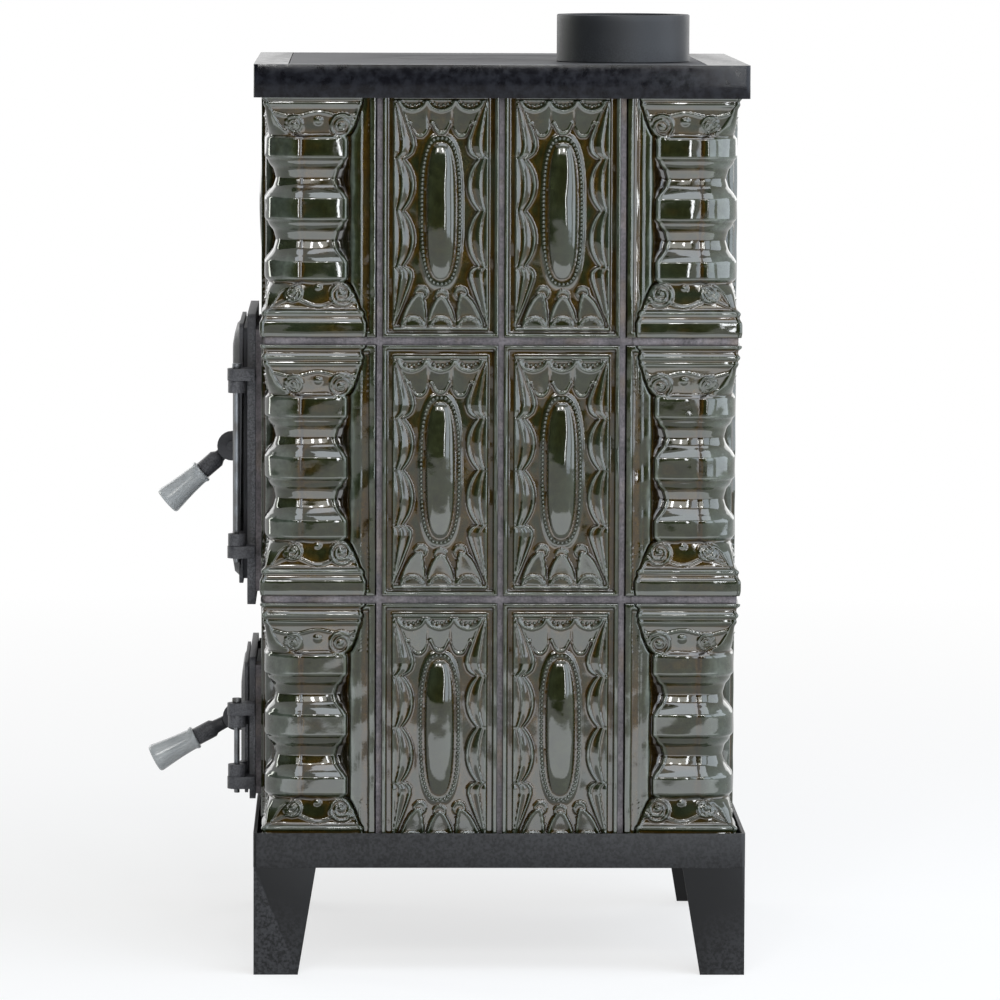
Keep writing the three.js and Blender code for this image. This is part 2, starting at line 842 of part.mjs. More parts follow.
// The door leaf: a seat rim, a flange and a domed panel, with two hinge knuckles and the latch ear.
function doorLeaf(door) {
  const seatBack = faceOf(door) - seat;
  const rimBack = -door.rimBack;
  const rimFront = -door.rimFront;
  const inset = (by) => [leaf.hinge + by, leaf.free - by, door.leafBottom + by, door.leafTop - by];
  const dome = rectangle(...inset(leaf.slope + leaf.rim), leaf.corner);
  const panel = prismX(dome, rimFront, rimFront + weld / 2, {
    bevelEnabled: true,
    bevelThickness: door.front - door.rimFront,
    bevelSize: leaf.slope,
    bevelSegments: 2,
    curveSegments: 2,
  });
  const body = [
    prismX(rectangle(...inset(leafSeat), leaf.corner - leafSeat / 2), rimBack, seatBack),
    prismX(rectangle(...inset(0), leaf.corner), rimFront, rimBack + 0.2),
    panel,
    knuckle(door, door.lowerLug + lug),
    knuckle(door, door.upperLug),
    ear(door),
  ];
  const behind = rectangle(...inset(leaf.slope + leaf.rim + 1), 4);
  const pocket = prismX(behind, leaf.wall - door.front, seatBack + weld);
  return { body: join(...body), pocket };
}

function knuckle(door, z0) {
  const inner = -door.rimBack;
  const outer = Math.max(pinX - eyeRadius, -door.front);
  const shape = new THREE.Shape();
  const root = leaf.hinge + leaf.rim;
  shape.moveTo(inner, root);
  shape.lineTo(inner, leaf.hinge - 3);
  shape.lineTo(pinX + 3, pinY + eyeRadius - 1);
  shape.lineTo(pinX + eyeRadius - 2, pinY);
  shape.absarc(pinX, pinY, eyeRadius - 0.5, 0, -1.5 * Math.PI, true);
  shape.lineTo(outer, root);
  shape.closePath();
  shape.holes.push(disc(pinX, pinY, pinRadius + running, THREE.Path));
  return prismZ(shape, z0, z0 + lug - seat, { curveSegments: 5 });
}

function ear(door) {
  const { x, z, ear: radius } = door.latch;
  const face = -door.rimBack;
  const shape = new THREE.Shape();
  shape.moveTo(face, z - radius * 0.9);
  shape.lineTo(x, z - radius);
  shape.absarc(x, z, radius, 1.5 * Math.PI, 0.5 * Math.PI, true);
  shape.lineTo(face, z + radius * 0.9);
  shape.closePath();
  shape.holes.push(disc(x, z, pinRadius + running, THREE.Path));
  return prismY(shape, leaf.free - earThickness / 2, leaf.free + earThickness / 2, {
    curveSegments: 6,
  });
}

function fireLeaf() {
  const { body, pocket } = doorLeaf(fireDoor);
  return piece("fire_door", cut(body, pocket), finish.iron);
}

// The ash door lets the air in through upright slots, behind which the slide runs in two rails.
function ashLeaf() {
  const { body } = doorLeaf(ashDoor);
  const [outside, inside] = [-ashDoor.front - 5, 5 - frameBack];
  const tools = [];
  for (let i = 0; i < airSlots.count; i++) {
    const middle = slotMiddle(i);
    tools.push(
      block(
        outside,
        inside,
        middle - airSlots.width / 2,
        middle + airSlots.width / 2,
        slideLevel - airSlots.height / 2,
        slideLevel + airSlots.height / 2,
      ),
    );
  }
  const tabRun = tabAt + slide.travel + 6;
  tools.push(block(outside, inside, tabAt - 6, tabRun, tabLevel - 3.5, tabLevel + 3.5));
  return piece("ash_door", join(cut(body, ...tools), rail(1), rail(-1)), finish.iron);
}

// One of the two hooked rails on the back of the ash door.
function rail(hand) {
  const seatBack = faceOf(ashDoor) - seat;
  const near = slide.height / 2 + seat;
  const deep = seatBack + slide.thickness + 2 * seat;
  const { wall, hook } = slideRail;
  const z = (offset) => slideMiddle + hand * offset;
  const shape = polygon(
    [seatBack - weld / 2, z(near)],
    [deep, z(near)],
    [deep, z(near - hook)],
    [deep + wall, z(near - hook)],
    [deep + wall, z(near + hook)],
    [seatBack - weld / 2, z(near + hook)],
  );
  const half = slide.length / 2;
  return prismY(shape, leafMiddle - half, leafMiddle + half);
}

function airSlide() {
  const from = leafMiddle - slide.length / 2 - slide.travel / 2;
  const foot = slideMiddle - slide.height / 2;
  const plate = rectangle(from, from + slide.length, foot, foot + slide.height, 2);
  const x0 = faceOf(ashDoor);
  const x1 = x0 + slide.thickness;
  const tall = airSlots.height / 2;
  const slots = [];
  for (let i = 0; i < airSlots.count; i++) {
    const from = slotMiddle(i) - slide.travel / 2 - airSlots.width / 2;
    const to = from + airSlots.width;
    slots.push(block(x0 - 1, x1 + 1, from, to, slideLevel - tall, slideLevel + tall));
  }
  const tab = block(-ashDoor.front - 3, x0 + 0.5, tabAt - 5, tabAt + 5, tabLevel - 2, tabLevel + 2);
  return piece("air_slide", join(cut(prismX(plate, x0, x1), ...slots), tab), finish.steel);
}

function hingePin(door) {
  const low = door.lowerLug - 4;
  const headFoot = door.upperLug + 2 * lug;
  const shaft = pinAlongZ(pinX, pinY, pinRadius, low, headFoot + 1, 12);
  const head = pinAlongZ(pinX, pinY, 4.2, headFoot, door.pinHead, 12);
  return piece(`${door.name}_hinge_pin`, join(shaft, head), finish.steel);
}

// The latch lever: a hub on the ear of the door, a tooth towards the frame and a stem for the grip.
function latch(door) {
  const { x, z, droop, reach } = door.latch;
  const plate = faceOf(door) - x; // pivot to the face of the door frame
  const y0 = leaf.free + earThickness / 2 + seat;
  const y1 = y0 + hubThickness;
  const hub = pinAlongY(0, 0, plate - lip.out - 0.7, y0, y1);
  const end = plate - tooth.clear;
  const nose = polygon(
    [0, -tooth.depth],
    [end - 1.2, -tooth.depth],
    [end, 2 - tooth.depth],
    [end, tooth.rise],
    [end - tooth.width, tooth.rise],
    [end - tooth.width - 1.1, 1],
    [0, 3],
  );
  const rivetEnd = leaf.free - earThickness / 2 - seat;
  const rivet = pinAlongY(0, 0, pinRadius, rivetEnd - 1, y0 + 1, 12);
  const head = pinAlongY(0, 0, pinRadius + 2, rivetEnd - 2.2, rivetEnd, 12);
  const tangEnd = reach + grip.length - 8;
  const clear = door.latch.ear + 1.4; // the rod turns round only past the ear
  const neck = new THREE.BoxGeometry(clear + 4, hubThickness, 11).translate(-(clear + 4) / 2, 0, 0);
  const rod = turned(
    [
      [0, clear],
      [stem.root, clear],
      [stem.neck, reach - stem.collarLength - 3],
      [stem.collar, reach - stem.collarLength],
      [stem.collar, reach - seat],
      [grip.tang, reach - seat],
      [grip.tang, tangEnd],
      [0, tangEnd],
    ],
    12,
  );
  const lean = THREE.MathUtils.degToRad(droop);
  const across = (y0 + y1) / 2;
  const pose = (geometry) => geometry.rotateY(-lean).translate(0, across, 0);
  const outward = (geometry) => pose(geometry.rotateY(-Math.PI / 2));
  const arm = solid(pose(neck));
  const lever = join(hub, prismY(nose, y0, y1), rivet, head, arm, solid(outward(rod)));
  const sleeve = turned(
    [
      [grip.tang + seat, reach],
      [grip.rim - 1.5, reach],
      [grip.rim, reach + 1.5],
      [grip.rim - 1, reach + 6],
      [grip.rim - 0.4, reach + 18],
      [grip.end - 0.6, reach + grip.length - 6],
      [grip.end, reach + grip.length - 2.5],
      [grip.end - 2, reach + grip.length],
      [0, reach + grip.length],
      [0, tangEnd + seat],
      [grip.tang + seat, tangEnd + seat],
      [grip.tang + seat, reach],
    ],
    12,
  );
  const group = new THREE.Group();
  group.position.set(x, 0, z);
  group.add(piece(`${door.name}_latch_lever`, lever, finish.iron));
  group.add(piece(`${door.name}_latch_grip`, solid(outward(sleeve)), finish.porcelain));
  return group;
}

// ---- Assembly ----

const stove = new THREE.Group();
stove.add(jacket(), ...masonry(), fireboxLining(), grate(), ashPan());
stove.add(baseFrame(), headFrame(), hobPlate(), flueCollar());

const rings = new THREE.Group();
rings.position.set(ringAt.x, ringAt.y, 0);
rings.add(hobRing("hob_ring_outer", 0), hobRing("hob_ring_inner", 1), hobLid());
stove.add(rings);

for (const door of [fireDoor, ashDoor]) stove.add(doorFrame(door), hingePin(door), latch(door));
stove.add(fireLeaf(), ashLeaf(), airSlide());

// The origin is under the middle of the whole stove, handles included.
stove.updateMatrixWorld(true);
const extent = new THREE.Box3().setFromObject(stove, true);
stove.position.x = -(extent.min.x + extent.max.x) / 2;
stove.position.y = -(extent.min.y + extent.max.y) / 2;

const part = new THREE.Group();
part.add(stove);
export default part;
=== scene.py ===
import json
import math

import bmesh
import bpy
import numpy as np
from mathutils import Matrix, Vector

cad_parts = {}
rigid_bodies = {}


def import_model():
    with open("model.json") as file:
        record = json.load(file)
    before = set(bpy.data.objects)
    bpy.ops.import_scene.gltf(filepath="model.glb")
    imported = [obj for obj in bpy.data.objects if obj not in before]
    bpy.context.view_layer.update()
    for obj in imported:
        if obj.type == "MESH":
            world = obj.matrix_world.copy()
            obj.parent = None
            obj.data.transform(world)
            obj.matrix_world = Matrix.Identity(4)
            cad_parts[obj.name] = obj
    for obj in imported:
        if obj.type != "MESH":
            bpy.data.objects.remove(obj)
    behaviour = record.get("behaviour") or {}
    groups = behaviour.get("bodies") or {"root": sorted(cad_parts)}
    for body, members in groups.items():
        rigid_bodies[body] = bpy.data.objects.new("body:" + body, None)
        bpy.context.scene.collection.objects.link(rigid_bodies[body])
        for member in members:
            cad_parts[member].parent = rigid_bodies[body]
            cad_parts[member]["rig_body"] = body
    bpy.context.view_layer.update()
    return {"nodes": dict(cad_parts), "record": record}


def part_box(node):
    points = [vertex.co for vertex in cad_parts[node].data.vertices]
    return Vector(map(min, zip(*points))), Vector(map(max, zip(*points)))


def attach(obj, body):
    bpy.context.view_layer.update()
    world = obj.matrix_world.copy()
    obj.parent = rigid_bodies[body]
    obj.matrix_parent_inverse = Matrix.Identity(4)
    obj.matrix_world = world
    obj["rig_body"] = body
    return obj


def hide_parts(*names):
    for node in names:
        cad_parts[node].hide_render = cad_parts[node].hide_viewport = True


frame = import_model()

mm = 0.001
print("frame loaded:", len(frame["nodes"]), "nodes")

# The stove stands on Z = 0. Its middle in plan is the middle of the base frame.
low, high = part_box("base_frame")
middle = (low + high) / 2
tileLow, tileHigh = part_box("tile_near_middle_1")
field = -tileLow.y / mm  # tile rims, from the middle of the stove
tileBack = -tileHigh.y / mm
tileWidth = (tileHigh.x - tileLow.x) / mm
tileHeight = (tileHigh.z - tileLow.z) / mm


# ---- Colours and nodes ----

# sRGB hex to the linear numbers that a socket takes
def linear(colour):
    parts = [int(colour[i:i + 2], 16) / 255 for i in (1, 3, 5)]
    return [c / 12.92 if c <= 0.04045 else ((c + 0.055) / 1.055) ** 2.4 for c in parts] + [1.0]


# each socket takes a link or a plain value
def fill(tree, node, inputs):
    for key, value in inputs.items():
        if isinstance(value, bpy.types.NodeSocket):
            tree.links.new(value, node.inputs[key])
        else:
            node.inputs[key].default_value = value
    return node


# adds one node with its settings and what goes into its sockets
def addNode(tree, kind, inputs=None, **settings):
    node = tree.nodes.new("ShaderNode" + kind)
    for key, value in settings.items():
        setattr(node, key, value)
    return fill(tree, node, inputs or {})


def newMaterial(name):
    material = bpy.data.materials.new(name)
    material.use_nodes = True
    tree = material.node_tree
    tree.nodes.clear()
    shader = addNode(tree, "BsdfPrincipled")
    addNode(tree, "OutputMaterial", {"Surface": shader.outputs["BSDF"]})
    return material, tree, shader


def ramp(tree, factor, stops):
    node = addNode(tree, "ValToRGB", {"Fac": factor})
    elements = node.color_ramp.elements
    while len(elements) < len(stops):
        elements.new(0.5)
    for element, (place, colour) in zip(elements, stops):
        element.position = place
        element.color = linear(colour) if isinstance(colour, str) else [colour] * 3 + [1]
    return node.outputs["Color"]


def noise(tree, where, sizeMm, detail=3.0, rough=0.55, warp=0.0):
    settings = {"Vector": where, "Scale": 1 / (sizeMm * mm), "Detail": detail, "Roughness": rough,
                "Distortion": warp}
    return addNode(tree, "TexNoise", settings).outputs["Fac"]


def blendColours(tree, factor, first, second, kind="MIX"):
    node = addNode(tree, "Mix", data_type="RGBA", blend_type=kind)
    for socket, value in (("Factor_Float", factor), ("A_Color", first), ("B_Color", second)):
        target = next(s for s in node.inputs if s.identifier == socket)
        if isinstance(value, bpy.types.NodeSocket):
            tree.links.new(value, target)
        else:
            target.default_value = linear(value) if isinstance(value, str) else value
    return next(s for s in node.outputs if s.identifier == "Result_Color")


def arithmetic(tree, kind, a, b=0.0, clamp=False):
    return addNode(tree, "Math", {0: a, 1: b}, operation=kind, use_clamp=clamp).outputs[0]


# colours the body where a mask shows, by a share of it
def stained(tree, body, mask, share, colour):
    return blendColours(tree, arithmetic(tree, "MULTIPLY", mask, share), body, colour)


def remap(tree, value, fromLow, fromHigh, toLow=0.0, toHigh=1.0):
    inputs = {"Value": value, "From Min": fromLow, "From Max": fromHigh, "To Min": toLow, "To Max": toHigh}
    return addNode(tree, "MapRange", inputs).outputs["Result"]


def place(tree, kind="Object"):
    return addNode(tree, "TexCoord").outputs[kind]


def bump(tree, shader, height, depthMm, strength=1.0):
    inputs = {"Height": height, "Distance": depthMm * mm, "Strength": strength}
    fill(tree, shader, {"Normal": addNode(tree, "Bump", inputs).outputs["Normal"]})


# ---- Finishes ----

# Lead glaze over red earthenware, dipped and fired: a deep glassy coat that runs off the ridges, where
# it looks thin and grey-green, and gathers in the hollows, where it is amber to brown and finely crazed.
def leadGlaze(name, look):
    material, tree, shader = newMaterial(name)
    where = addNode(tree, "NewGeometry").outputs["Position"]
    pool = addNode(tree, "Attribute", attribute_name="pool").outputs["Fac"]
    cloud = noise(tree, where, look["cloudMm"], 4, 0.6, 0.4)
    fine = noise(tree, where, look["fineMm"], 5, 0.65)
    speck = noise(tree, where, look["speckMm"], 2, 0.5)
    drift = addNode(tree, "Math", {0: arithmetic(tree, "SUBTRACT", cloud, 0.5), 1: look["drift"], 2: pool},
                    operation="MULTIPLY_ADD").outputs[0]
    thick = remap(tree, drift, -1.0, 1.0)
    body = ramp(tree, thick, look["body"])
    tint = ramp(tree, fine, [(0.3, look["dark"]), (0.5, "#808080"), (0.72, look["light"])])
    body = blendColours(tree, look["mottle"], body, tint, "OVERLAY")
    green = remap(tree, noise(tree, where, look["greenMm"], 2, 0.5), 0.48, 0.66)
    body = stained(tree, body, green, look["greenShare"], look["green"])
    specks = arithmetic(tree, "MULTIPLY", remap(tree, speck, 0.62, 0.7), remap(tree, drift, -0.1, 0.35))
    body = stained(tree, body, specks, look["specks"], look["speckColour"])
    cells = addNode(tree, "TexVoronoi", {"Vector": where, "Scale": 1 / (look["crazeMm"] * mm)},
                    feature="DISTANCE_TO_EDGE").outputs["Distance"]
    craze = arithmetic(tree, "MULTIPLY", remap(tree, cells, 0.06, 0.0), remap(tree, cloud, 0.5, 0.62))
    body = stained(tree, body, craze, look["craze"], look["crazeColour"])
    rough = remap(tree, fine, 0.35, 0.7, look["gloss"], look["gloss"] + 0.05)
    fill(tree, shader, {"Base Color": body, "IOR": look["ior"], "Roughness": rough})
    ripple = arithmetic(tree, "MULTIPLY", noise(tree, where, look["rippleMm"], 1, 0.4), look["rippleShare"])
    surface = arithmetic(tree, "ADD", ripple, arithmetic(tree, "MULTIPLY", fine, 0.12))
    bump(tree, shader, surface, look["rippleDeepMm"])
    return material


# Lime and clay joint mortar, wiped flush by hand: pale lilac grey, sandy and quite matt.
def jointMortar(name="joint_mortar"):
    material, tree, shader = newMaterial(name)
    where = addNode(tree, "NewGeometry").outputs["Position"]
    cloud = noise(tree, where, 26, 4, 0.6)
    sand = noise(tree, where, 2.2, 4, 0.7)  # sand grains are under 1 mm and are drawn at twice that
    body = ramp(tree, cloud, [(0.3, "#575254"), (0.5, "#6c6669"), (0.7, "#857e81")])
    body = blendColours(tree, 0.8, body, ramp(tree, sand, [(0.3, "#4c4c4c"), (0.7, "#a8a8a8")]), "OVERLAY")
    stain = remap(tree, noise(tree, where, 60, 3, 0.6), 0.56, 0.7)
    body = stained(tree, body, stain, 0.4, "#6b5c48")
    fill(tree, shader, {"Base Color": body, "Roughness": 0.93, "IOR": 1.5})
    bump(tree, shader, sand, 0.5)
    return material


# Grey cast iron under satin stove paint: even dark grey, sand-cast grain, rubbed paler along the edges.
def stovePaint(name, look):
    material, tree, shader = newMaterial(name)
    where = place(tree)
    grain = noise(tree, where, look["grainMm"], 4, 0.6)
    cloud = noise(tree, where, look["cloudMm"], 3, 0.6)
    body = ramp(tree, cloud, [(0.3, look["dark"]), (0.7, look["light"])])
    body = blendColours(tree, look["fleck"], body, ramp(tree, grain, [(0.3, "#5a5a5a"), (0.7, "#a0a0a0")]),
                        "OVERLAY")
    edge = addNode(tree, "NewGeometry").outputs["Pointiness"]
    worn = arithmetic(tree, "MULTIPLY", remap(tree, edge, 0.53, 0.6), remap(tree, grain, 0.4, 0.6))
    body = stained(tree, body, worn, look["worn"], look["wornColour"])
    rough = remap(tree, grain, 0.3, 0.7, look["rough"] - 0.06, look["rough"] + 0.08)
    fill(tree, shader, {"Base Color": body, "Metallic": look["metallic"], "Roughness": rough,
                        "Specular IOR Level": look["specular"]})
    bump(tree, shader, grain, look["deepMm"])
    return material


# Glost porcelain: cast, glazed and fired white-grey, with a soft sheen and a few pinholes.
def glostPorcelain(name="glost_porcelain"):
    material, tree, shader = newMaterial(name)
    where = place(tree)
    cloud = noise(tree, where, 14, 3, 0.55)
    body = ramp(tree, cloud, [(0.3, "#989c9f"), (0.7, "#b0b3b4")])
    holes = remap(tree, noise(tree, where, 1.3, 1, 0.5), 0.74, 0.78)
    body = stained(tree, body, holes, 0.5, "#6e6c68")
    grime = remap(tree, noise(tree, where, 9, 4, 0.7), 0.58, 0.72)
    body = stained(tree, body, grime, 0.25, "#8a8780")
    fill(tree, shader, {"Base Color": body, "Roughness": 0.22, "IOR": 1.5})
    bump(tree, shader, cloud, 0.25)
    return material


# Firebrick: pressed chamotte, buff with dark grog specks and a smoky film, dead matt.
def firebrick(name="firebrick"):
    material, tree, shader = newMaterial(name)
    where = place(tree)
    grog = noise(tree, where, 5, 4, 0.7)
    smoke = noise(tree, where, 90, 4, 0.6)
    body = ramp(tree, grog, [(0.3, "#7d6548"), (0.55, "#ab8f6a"), (0.75, "#c2a985")])
    body = blendColours(tree, remap(tree, smoke, 0.35, 0.7, 0.25, 0.85), body, "#3b3632")
    fill(tree, shader, {"Base Color": body, "Roughness": 0.95})
    bump(tree, shader, grog, 0.6)
    return material


# Bare rolled steel that has been warm: dull grey with brownish bloom and fine rolling lines.
def rolledSteel(name="rolled_steel"):
    material, tree, shader = newMaterial(name)
    where = place(tree)
    stretched = addNode(tree, "Mapping", {"Vector": where, "Scale": (0.06, 1, 1)}).outputs["Vector"]
    lines = noise(tree, stretched, 1.2, 3, 0.6)
    bloom = noise(tree, where, 24, 4, 0.6)
    body = ramp(tree, bloom, [(0.3, "#55524e"), (0.55, "#74777b"), (0.75, "#85888c")])
    rough = remap(tree, lines, 0.3, 0.7, 0.38, 0.55)
    fill(tree, shader, {"Base Color": body, "Metallic": 0.9, "Roughness": rough})
    bump(tree, shader, lines, 0.05)
    return material


glazeLook = {
    "body": [(0.0, "#4b5148"), (0.3, "#2c301e"), (0.5, "#20220f"), (0.66, "#3d2d0c"), (1.0, "#1c1306")],
    "cloudMm": 42, "fineMm": 7, "speckMm": 1.7, "greenMm": 70, "crazeMm": 4,
    "drift": 1.0, "dark": "#303030", "light": "#bcbcbc", "mottle": 0.6,
    "green": "#232b22", "greenShare": 0.45, "specks": 0.8, "speckColour": "#0b0b07",
    "craze": 0.08, "crazeColour": "#6b6038", "ior": 1.62, "gloss": 0.035,
    "rippleMm": 18, "rippleShare": 1.0, "rippleDeepMm": 0.35,
}
ironLook = {
    "grainMm": 1.5, "cloudMm": 40, "dark": "#323235", "light": "#434347", "fleck": 0.35, "worn": 0.5,
    "wornColour": "#747478", "metallic": 0.0, "specular": 0.35, "rough": 0.5, "deepMm": 0.1,
}
sheetLook = dict(ironLook, grainMm=2.5, cloudMm=160, dark="#131314", light="#19191a", fleck=0.12, worn=0.25,
                 rough=0.42, deepMm=0.02, specular=0.25)
glossLook = dict(ironLook, grainMm=9, cloudMm=200, dark="#0b0b0e", light="#101013", fleck=0.08, worn=0.3,
                 wornColour="#4a4d56", rough=0.16, deepMm=0.03, specular=0.16)
hobLook = dict(ironLook, grainMm=1.2, cloudMm=45, dark="#333335", light="#424245", fleck=0.4, worn=0.5,
               wornColour="#8e8e90", metallic=0.3, rough=0.55, deepMm=0.08)
collarLook = dict(ironLook, grainMm=1.4, cloudMm=60, dark="#1b1c1f", light="#232528", fleck=0.25, worn=0.4,
                  wornColour="#55575c", rough=0.5, deepMm=0.05)
pinLook = dict(ironLook, dark="#232326", light="#303033", rough=0.45)

finish = {
    "glaze": leadGlaze("lead_glaze", glazeLook),
    "mortar": jointMortar(),
    "firebrick": firebrick(),
    "porcelain": glostPorcelain(),
    "dark_sheet": stovePaint("satin_sheet_paint", sheetLook),
    "gloss_black": stovePaint("black_enamel", glossLook),
    "hob_iron": stovePaint("ground_hob_iron", hobLook),
    "charcoal": stovePaint("charcoal_iron", collarLook),
    "door_iron": stovePaint("stove_paint", ironLook),
    "pin": stovePaint("dark_pin_iron", pinLook),
    "steel": rolledSteel(),
}
print("finishes made:", len(finish))


# ---- Meshes ----

def addObject(name, data):
    thing = bpy.data.objects.new(name, data)
    bpy.context.scene.collection.objects.link(thing)
    return thing


# points are in millimetres; pool is how deep the glaze lies at each of them
def smoothMesh(name, points, faces, material, pool=None):
    mesh = bpy.data.meshes.new(name)
    mesh.from_pydata((np.asarray(points) * mm).tolist(), [], faces)
    if pool is not None:
        layer = mesh.attributes.new("pool", "FLOAT", "POINT")
        layer.data.foreach_set("value", np.asarray(pool, np.float32))
    mesh.polygons.foreach_set("use_smooth", [True] * len(mesh.polygons))
    mesh.materials.append(material)
    mesh.update()
    return mesh


# shift is in millimetres from the middle of the stove, on the floor
def placePiece(name, mesh, body, stands, turn=0.0, shift=(0, 0, 0)):
    piece = addObject(name, mesh)
    piece.rotation_euler = (0, 0, turn)
    piece.location = Vector((middle.x, middle.y, 0)) + Vector(shift) * mm
    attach(piece, body)
    if stands:
        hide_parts(*stands)
    return piece


def gridFaces(across, up, start=0):
    ids = np.arange(across * up).reshape(up, across) + start
    quads = np.stack([ids[:-1, :-1], ids[:-1, 1:], ids[1:, 1:], ids[1:, :-1]], -1)
    return quads.reshape(-1, 4).tolist()


# the outline of a grid, walked once round
def rimOf(across, up):
    bottom = list(range(across))
    right = [across * (row + 1) - 1 for row in range(1, up)]
    topRow = [across * (up - 1) + i for i in range(across - 2, -1, -1)]
    left = [across * row for row in range(up - 2, 0, -1)]
    return bottom + right + topRow + left


# quads between the rim of a grid and its copy on the back, whose points begin at first
def sideFaces(rim, first):
    faces = []
    for i, corner in enumerate(rim):
        after = (i + 1) % len(rim)
        faces.append([corner, first + i, first + after, rim[after]])
    return faces


def smoothed(values, sigma):
    reach = max(1, int(3 * sigma))
    kernel = np.exp(-0.5 * (np.arange(-reach, reach + 1) / sigma) ** 2)
    kernel /= kernel.sum()
    for axis in (0, 1):
        padded = np.pad(values, [(reach, reach) if a == axis else (0, 0) for a in (0, 1)], mode="edge")
        values = np.apply_along_axis(lambda line: np.convolve(line, kernel, "valid"), axis, padded)
    return values


def step(value, start, end):
    t = np.clip((value - start) / (end - start), 0, 1)
    return t * t * (3 - 2 * t)


def ridge(distance, width):
    return np.clip(1 - (distance / width) ** 2, 0, None) ** 0.5


# height of a raised rim at a distance from the tile's edge
def rimHeight(edge, rim):
    return -rim["fall"] * (1 - ridge(edge - rim["crest"], rim["half"]))


# the moulded clay is never quite true: six slow waves in the relief
def clayWaves(random, across, up, acrossRange, upRange):
    return sum(
        random.uniform(0.03, 0.1) * np.sin(random.uniform(*acrossRange) * across
                                           + random.uniform(*upRange) * up + random.uniform(0, 6.3))
        for _ in range(6)
    )


# ---- Half tiles ----

farBelow = -9.0  # height given to a form where it is absent, under all the others

# Millimetres. u runs from the middle of the tile, v from its foot, and heights are from the rim.
halfTile = {
    "stepMm": 0.8,
    "rim": {"wide": 3.8, "crest": 1.5, "half": 2.4, "fall": 1.3},
    "band": -4.0,  # the sunk band between the rim and the panel
    "panelHalf": 41.5, "panelFoot": 6.0, "panelHead": 211.0, "ground": -5.0,
    "shoulder": (-0.6, 0.7),  # where the panel rises out of the band, from its own edge
    "endLine": {"wide": 3.6, "level": -2.8, "high": 1.7, "crest": 1.2, "half": 1.3},
    "soften": 0.55,  # in steps of the grid
    "poolReach": 3.2, "poolDeep": 1.6,
    "ovalPower": 2.8,
    "oval": {"half": 13.0, "tall": 60, "foot": -4.6, "rise": 7.2, "flat": 2.2, "round": 0.52},
    "beads": {"half": 16.6, "tall": 63.8, "pitch": 3.7, "radius": 1.75, "level": -3.8,
              "bed": 2.4, "bedHigh": 1.1, "bedEdge": (1.05, 0.99)},
}

# The scalloped cloth at both sides. A hem is a list of height and distance from the middle.
sideCloth = {
    "cusps": (62, 110.6, 156), "cusp": 33.0, "bulge": 23.0,
    "hemFoot": [(8, 41.5), (14, 39), (30, 32.5), (44, 27), (52, 24.4), (57, 24.8), (60.5, 28), (62, 33)],
    "hemHead": [(156, 33), (157.5, 28.5), (161, 24.4), (167, 22.4), (173, 23), (180, 25.5), (193, 31),
                (207, 38), (213, 41)],
    # from the hem to the edge of the panel: share of the way, height
    "profile": [(-0.02, -5.0), (0.03, -1.3), (0.07, -0.8), (0.12, -1.6), (0.2, -3.1), (0.35, -2.4),
                (0.5, -1.2), (0.57, -0.6), (0.61, -0.9), (0.68, -2.6), (0.8, -2.0), (0.93, -1.0),
                (1.0, -0.7)],
    "least": 3.5, "lean": 0.05, "begins": -0.02, "inner": 0.16, "soften": 0.8,
}

# The cloth over the boss: three hanging tips between two folds.
headCloth = {
    "from": 170, "hem": 186.0, "hemCrest": 1.2, "hemHalf": 1.3, "head": 204, "level": -0.9, "lean": 0.085,
    "tips": [(-18.2, 174.5), (0, 177.0), (17.6, 174.5)],
    "tipHalf": 7.6, "tipReach": 1.2, "tipRise": 8.5, "tipPower": 2.6,
    "folds": (-10.4, 9.6), "foldDeep": 1.9, "foldHalf": 1.3, "foldEnds": (188, 203),
}

# The fans at the foot, each with a small arched cap over its apex.
footFans = {
    # apex across and up, left and right end of the base
    "places": [(-17, 38.5, -35, -12.5), (0.5, 35.5, -12, 13), (17.5, 38, 13.5, 37)],
    "foot": 13, "cut": 9, "spread": 0.46, "level": -2.9, "lean": 0.06,
    "fall": 0.3, "fallEnds": (1.0, 4.5), "edgeHigh": 0.7, "edgeCrest": 1.0, "edgeHalf": 1.2,
    "cap": {"up": 0.5, "level": -3.6, "lean": 0.05, "high": 0.6, "crest": 5.0, "half": 1.0, "reach": 5.8,
            "below": 6},
}

# Swags of beads along the head, and half rosettes along the foot under them.
swag = {
    "places": (-25, 0, 25), "radius": 14, "centre": 210.5, "top": 207,
    "high": 1.1, "inset": 1.2, "half": 1.3, "deep": 1.9, "bowl": (2.4, 5),
    "beads": (-9.6, -5.8, -1.9, 1.9, 5.8, 9.6), "beadTop": 205.4, "beadSag": 0.03, "beadSpan": 92,
    "beadRadius": 1.5, "beadLevel": -2.3,
}
rosette = {
    "pitch": 0.98, "flat": 1.2, "centre": 9.5, "radius": 8.6, "level": -2.2, "crest": 7.6, "half": 1.1,
    "beads": [(-6.5, 11.2), (-3.6, 14.2), (0, 15.4), (3.6, 14.2), (6.5, 11.2)],
    "beadRadius": 1.25, "beadLevel": -2.3,
}


def superOval(u, v, half, tall, power):
    return (np.abs(u / half) ** power + np.abs(v / tall) ** power) ** (1 / power)


# where the scalloped cloth begins, at both sides of the tile
def hemLine(v):
    k = sideCloth
    lowest, halfway, highest = k["cusps"]
    line = np.interp(v, *np.array(k["hemFoot"]).T)
    line = np.where(v > highest, np.interp(v, *np.array(k["hemHead"]).T), line)
    sag = k["cusp"] - k["bulge"]
    for start, end in ((lowest, halfway), (halfway, highest)):
        reach = (end - start) / 2
        radius = (reach ** 2 + sag ** 2) / (2 * sag)
        away = np.clip(v - start - reach, -reach, reach)
        arc = k["bulge"] + radius - np.sqrt(radius ** 2 - away ** 2)
        line = np.where((v >= start) & (v <= end), arc, line)
    return line


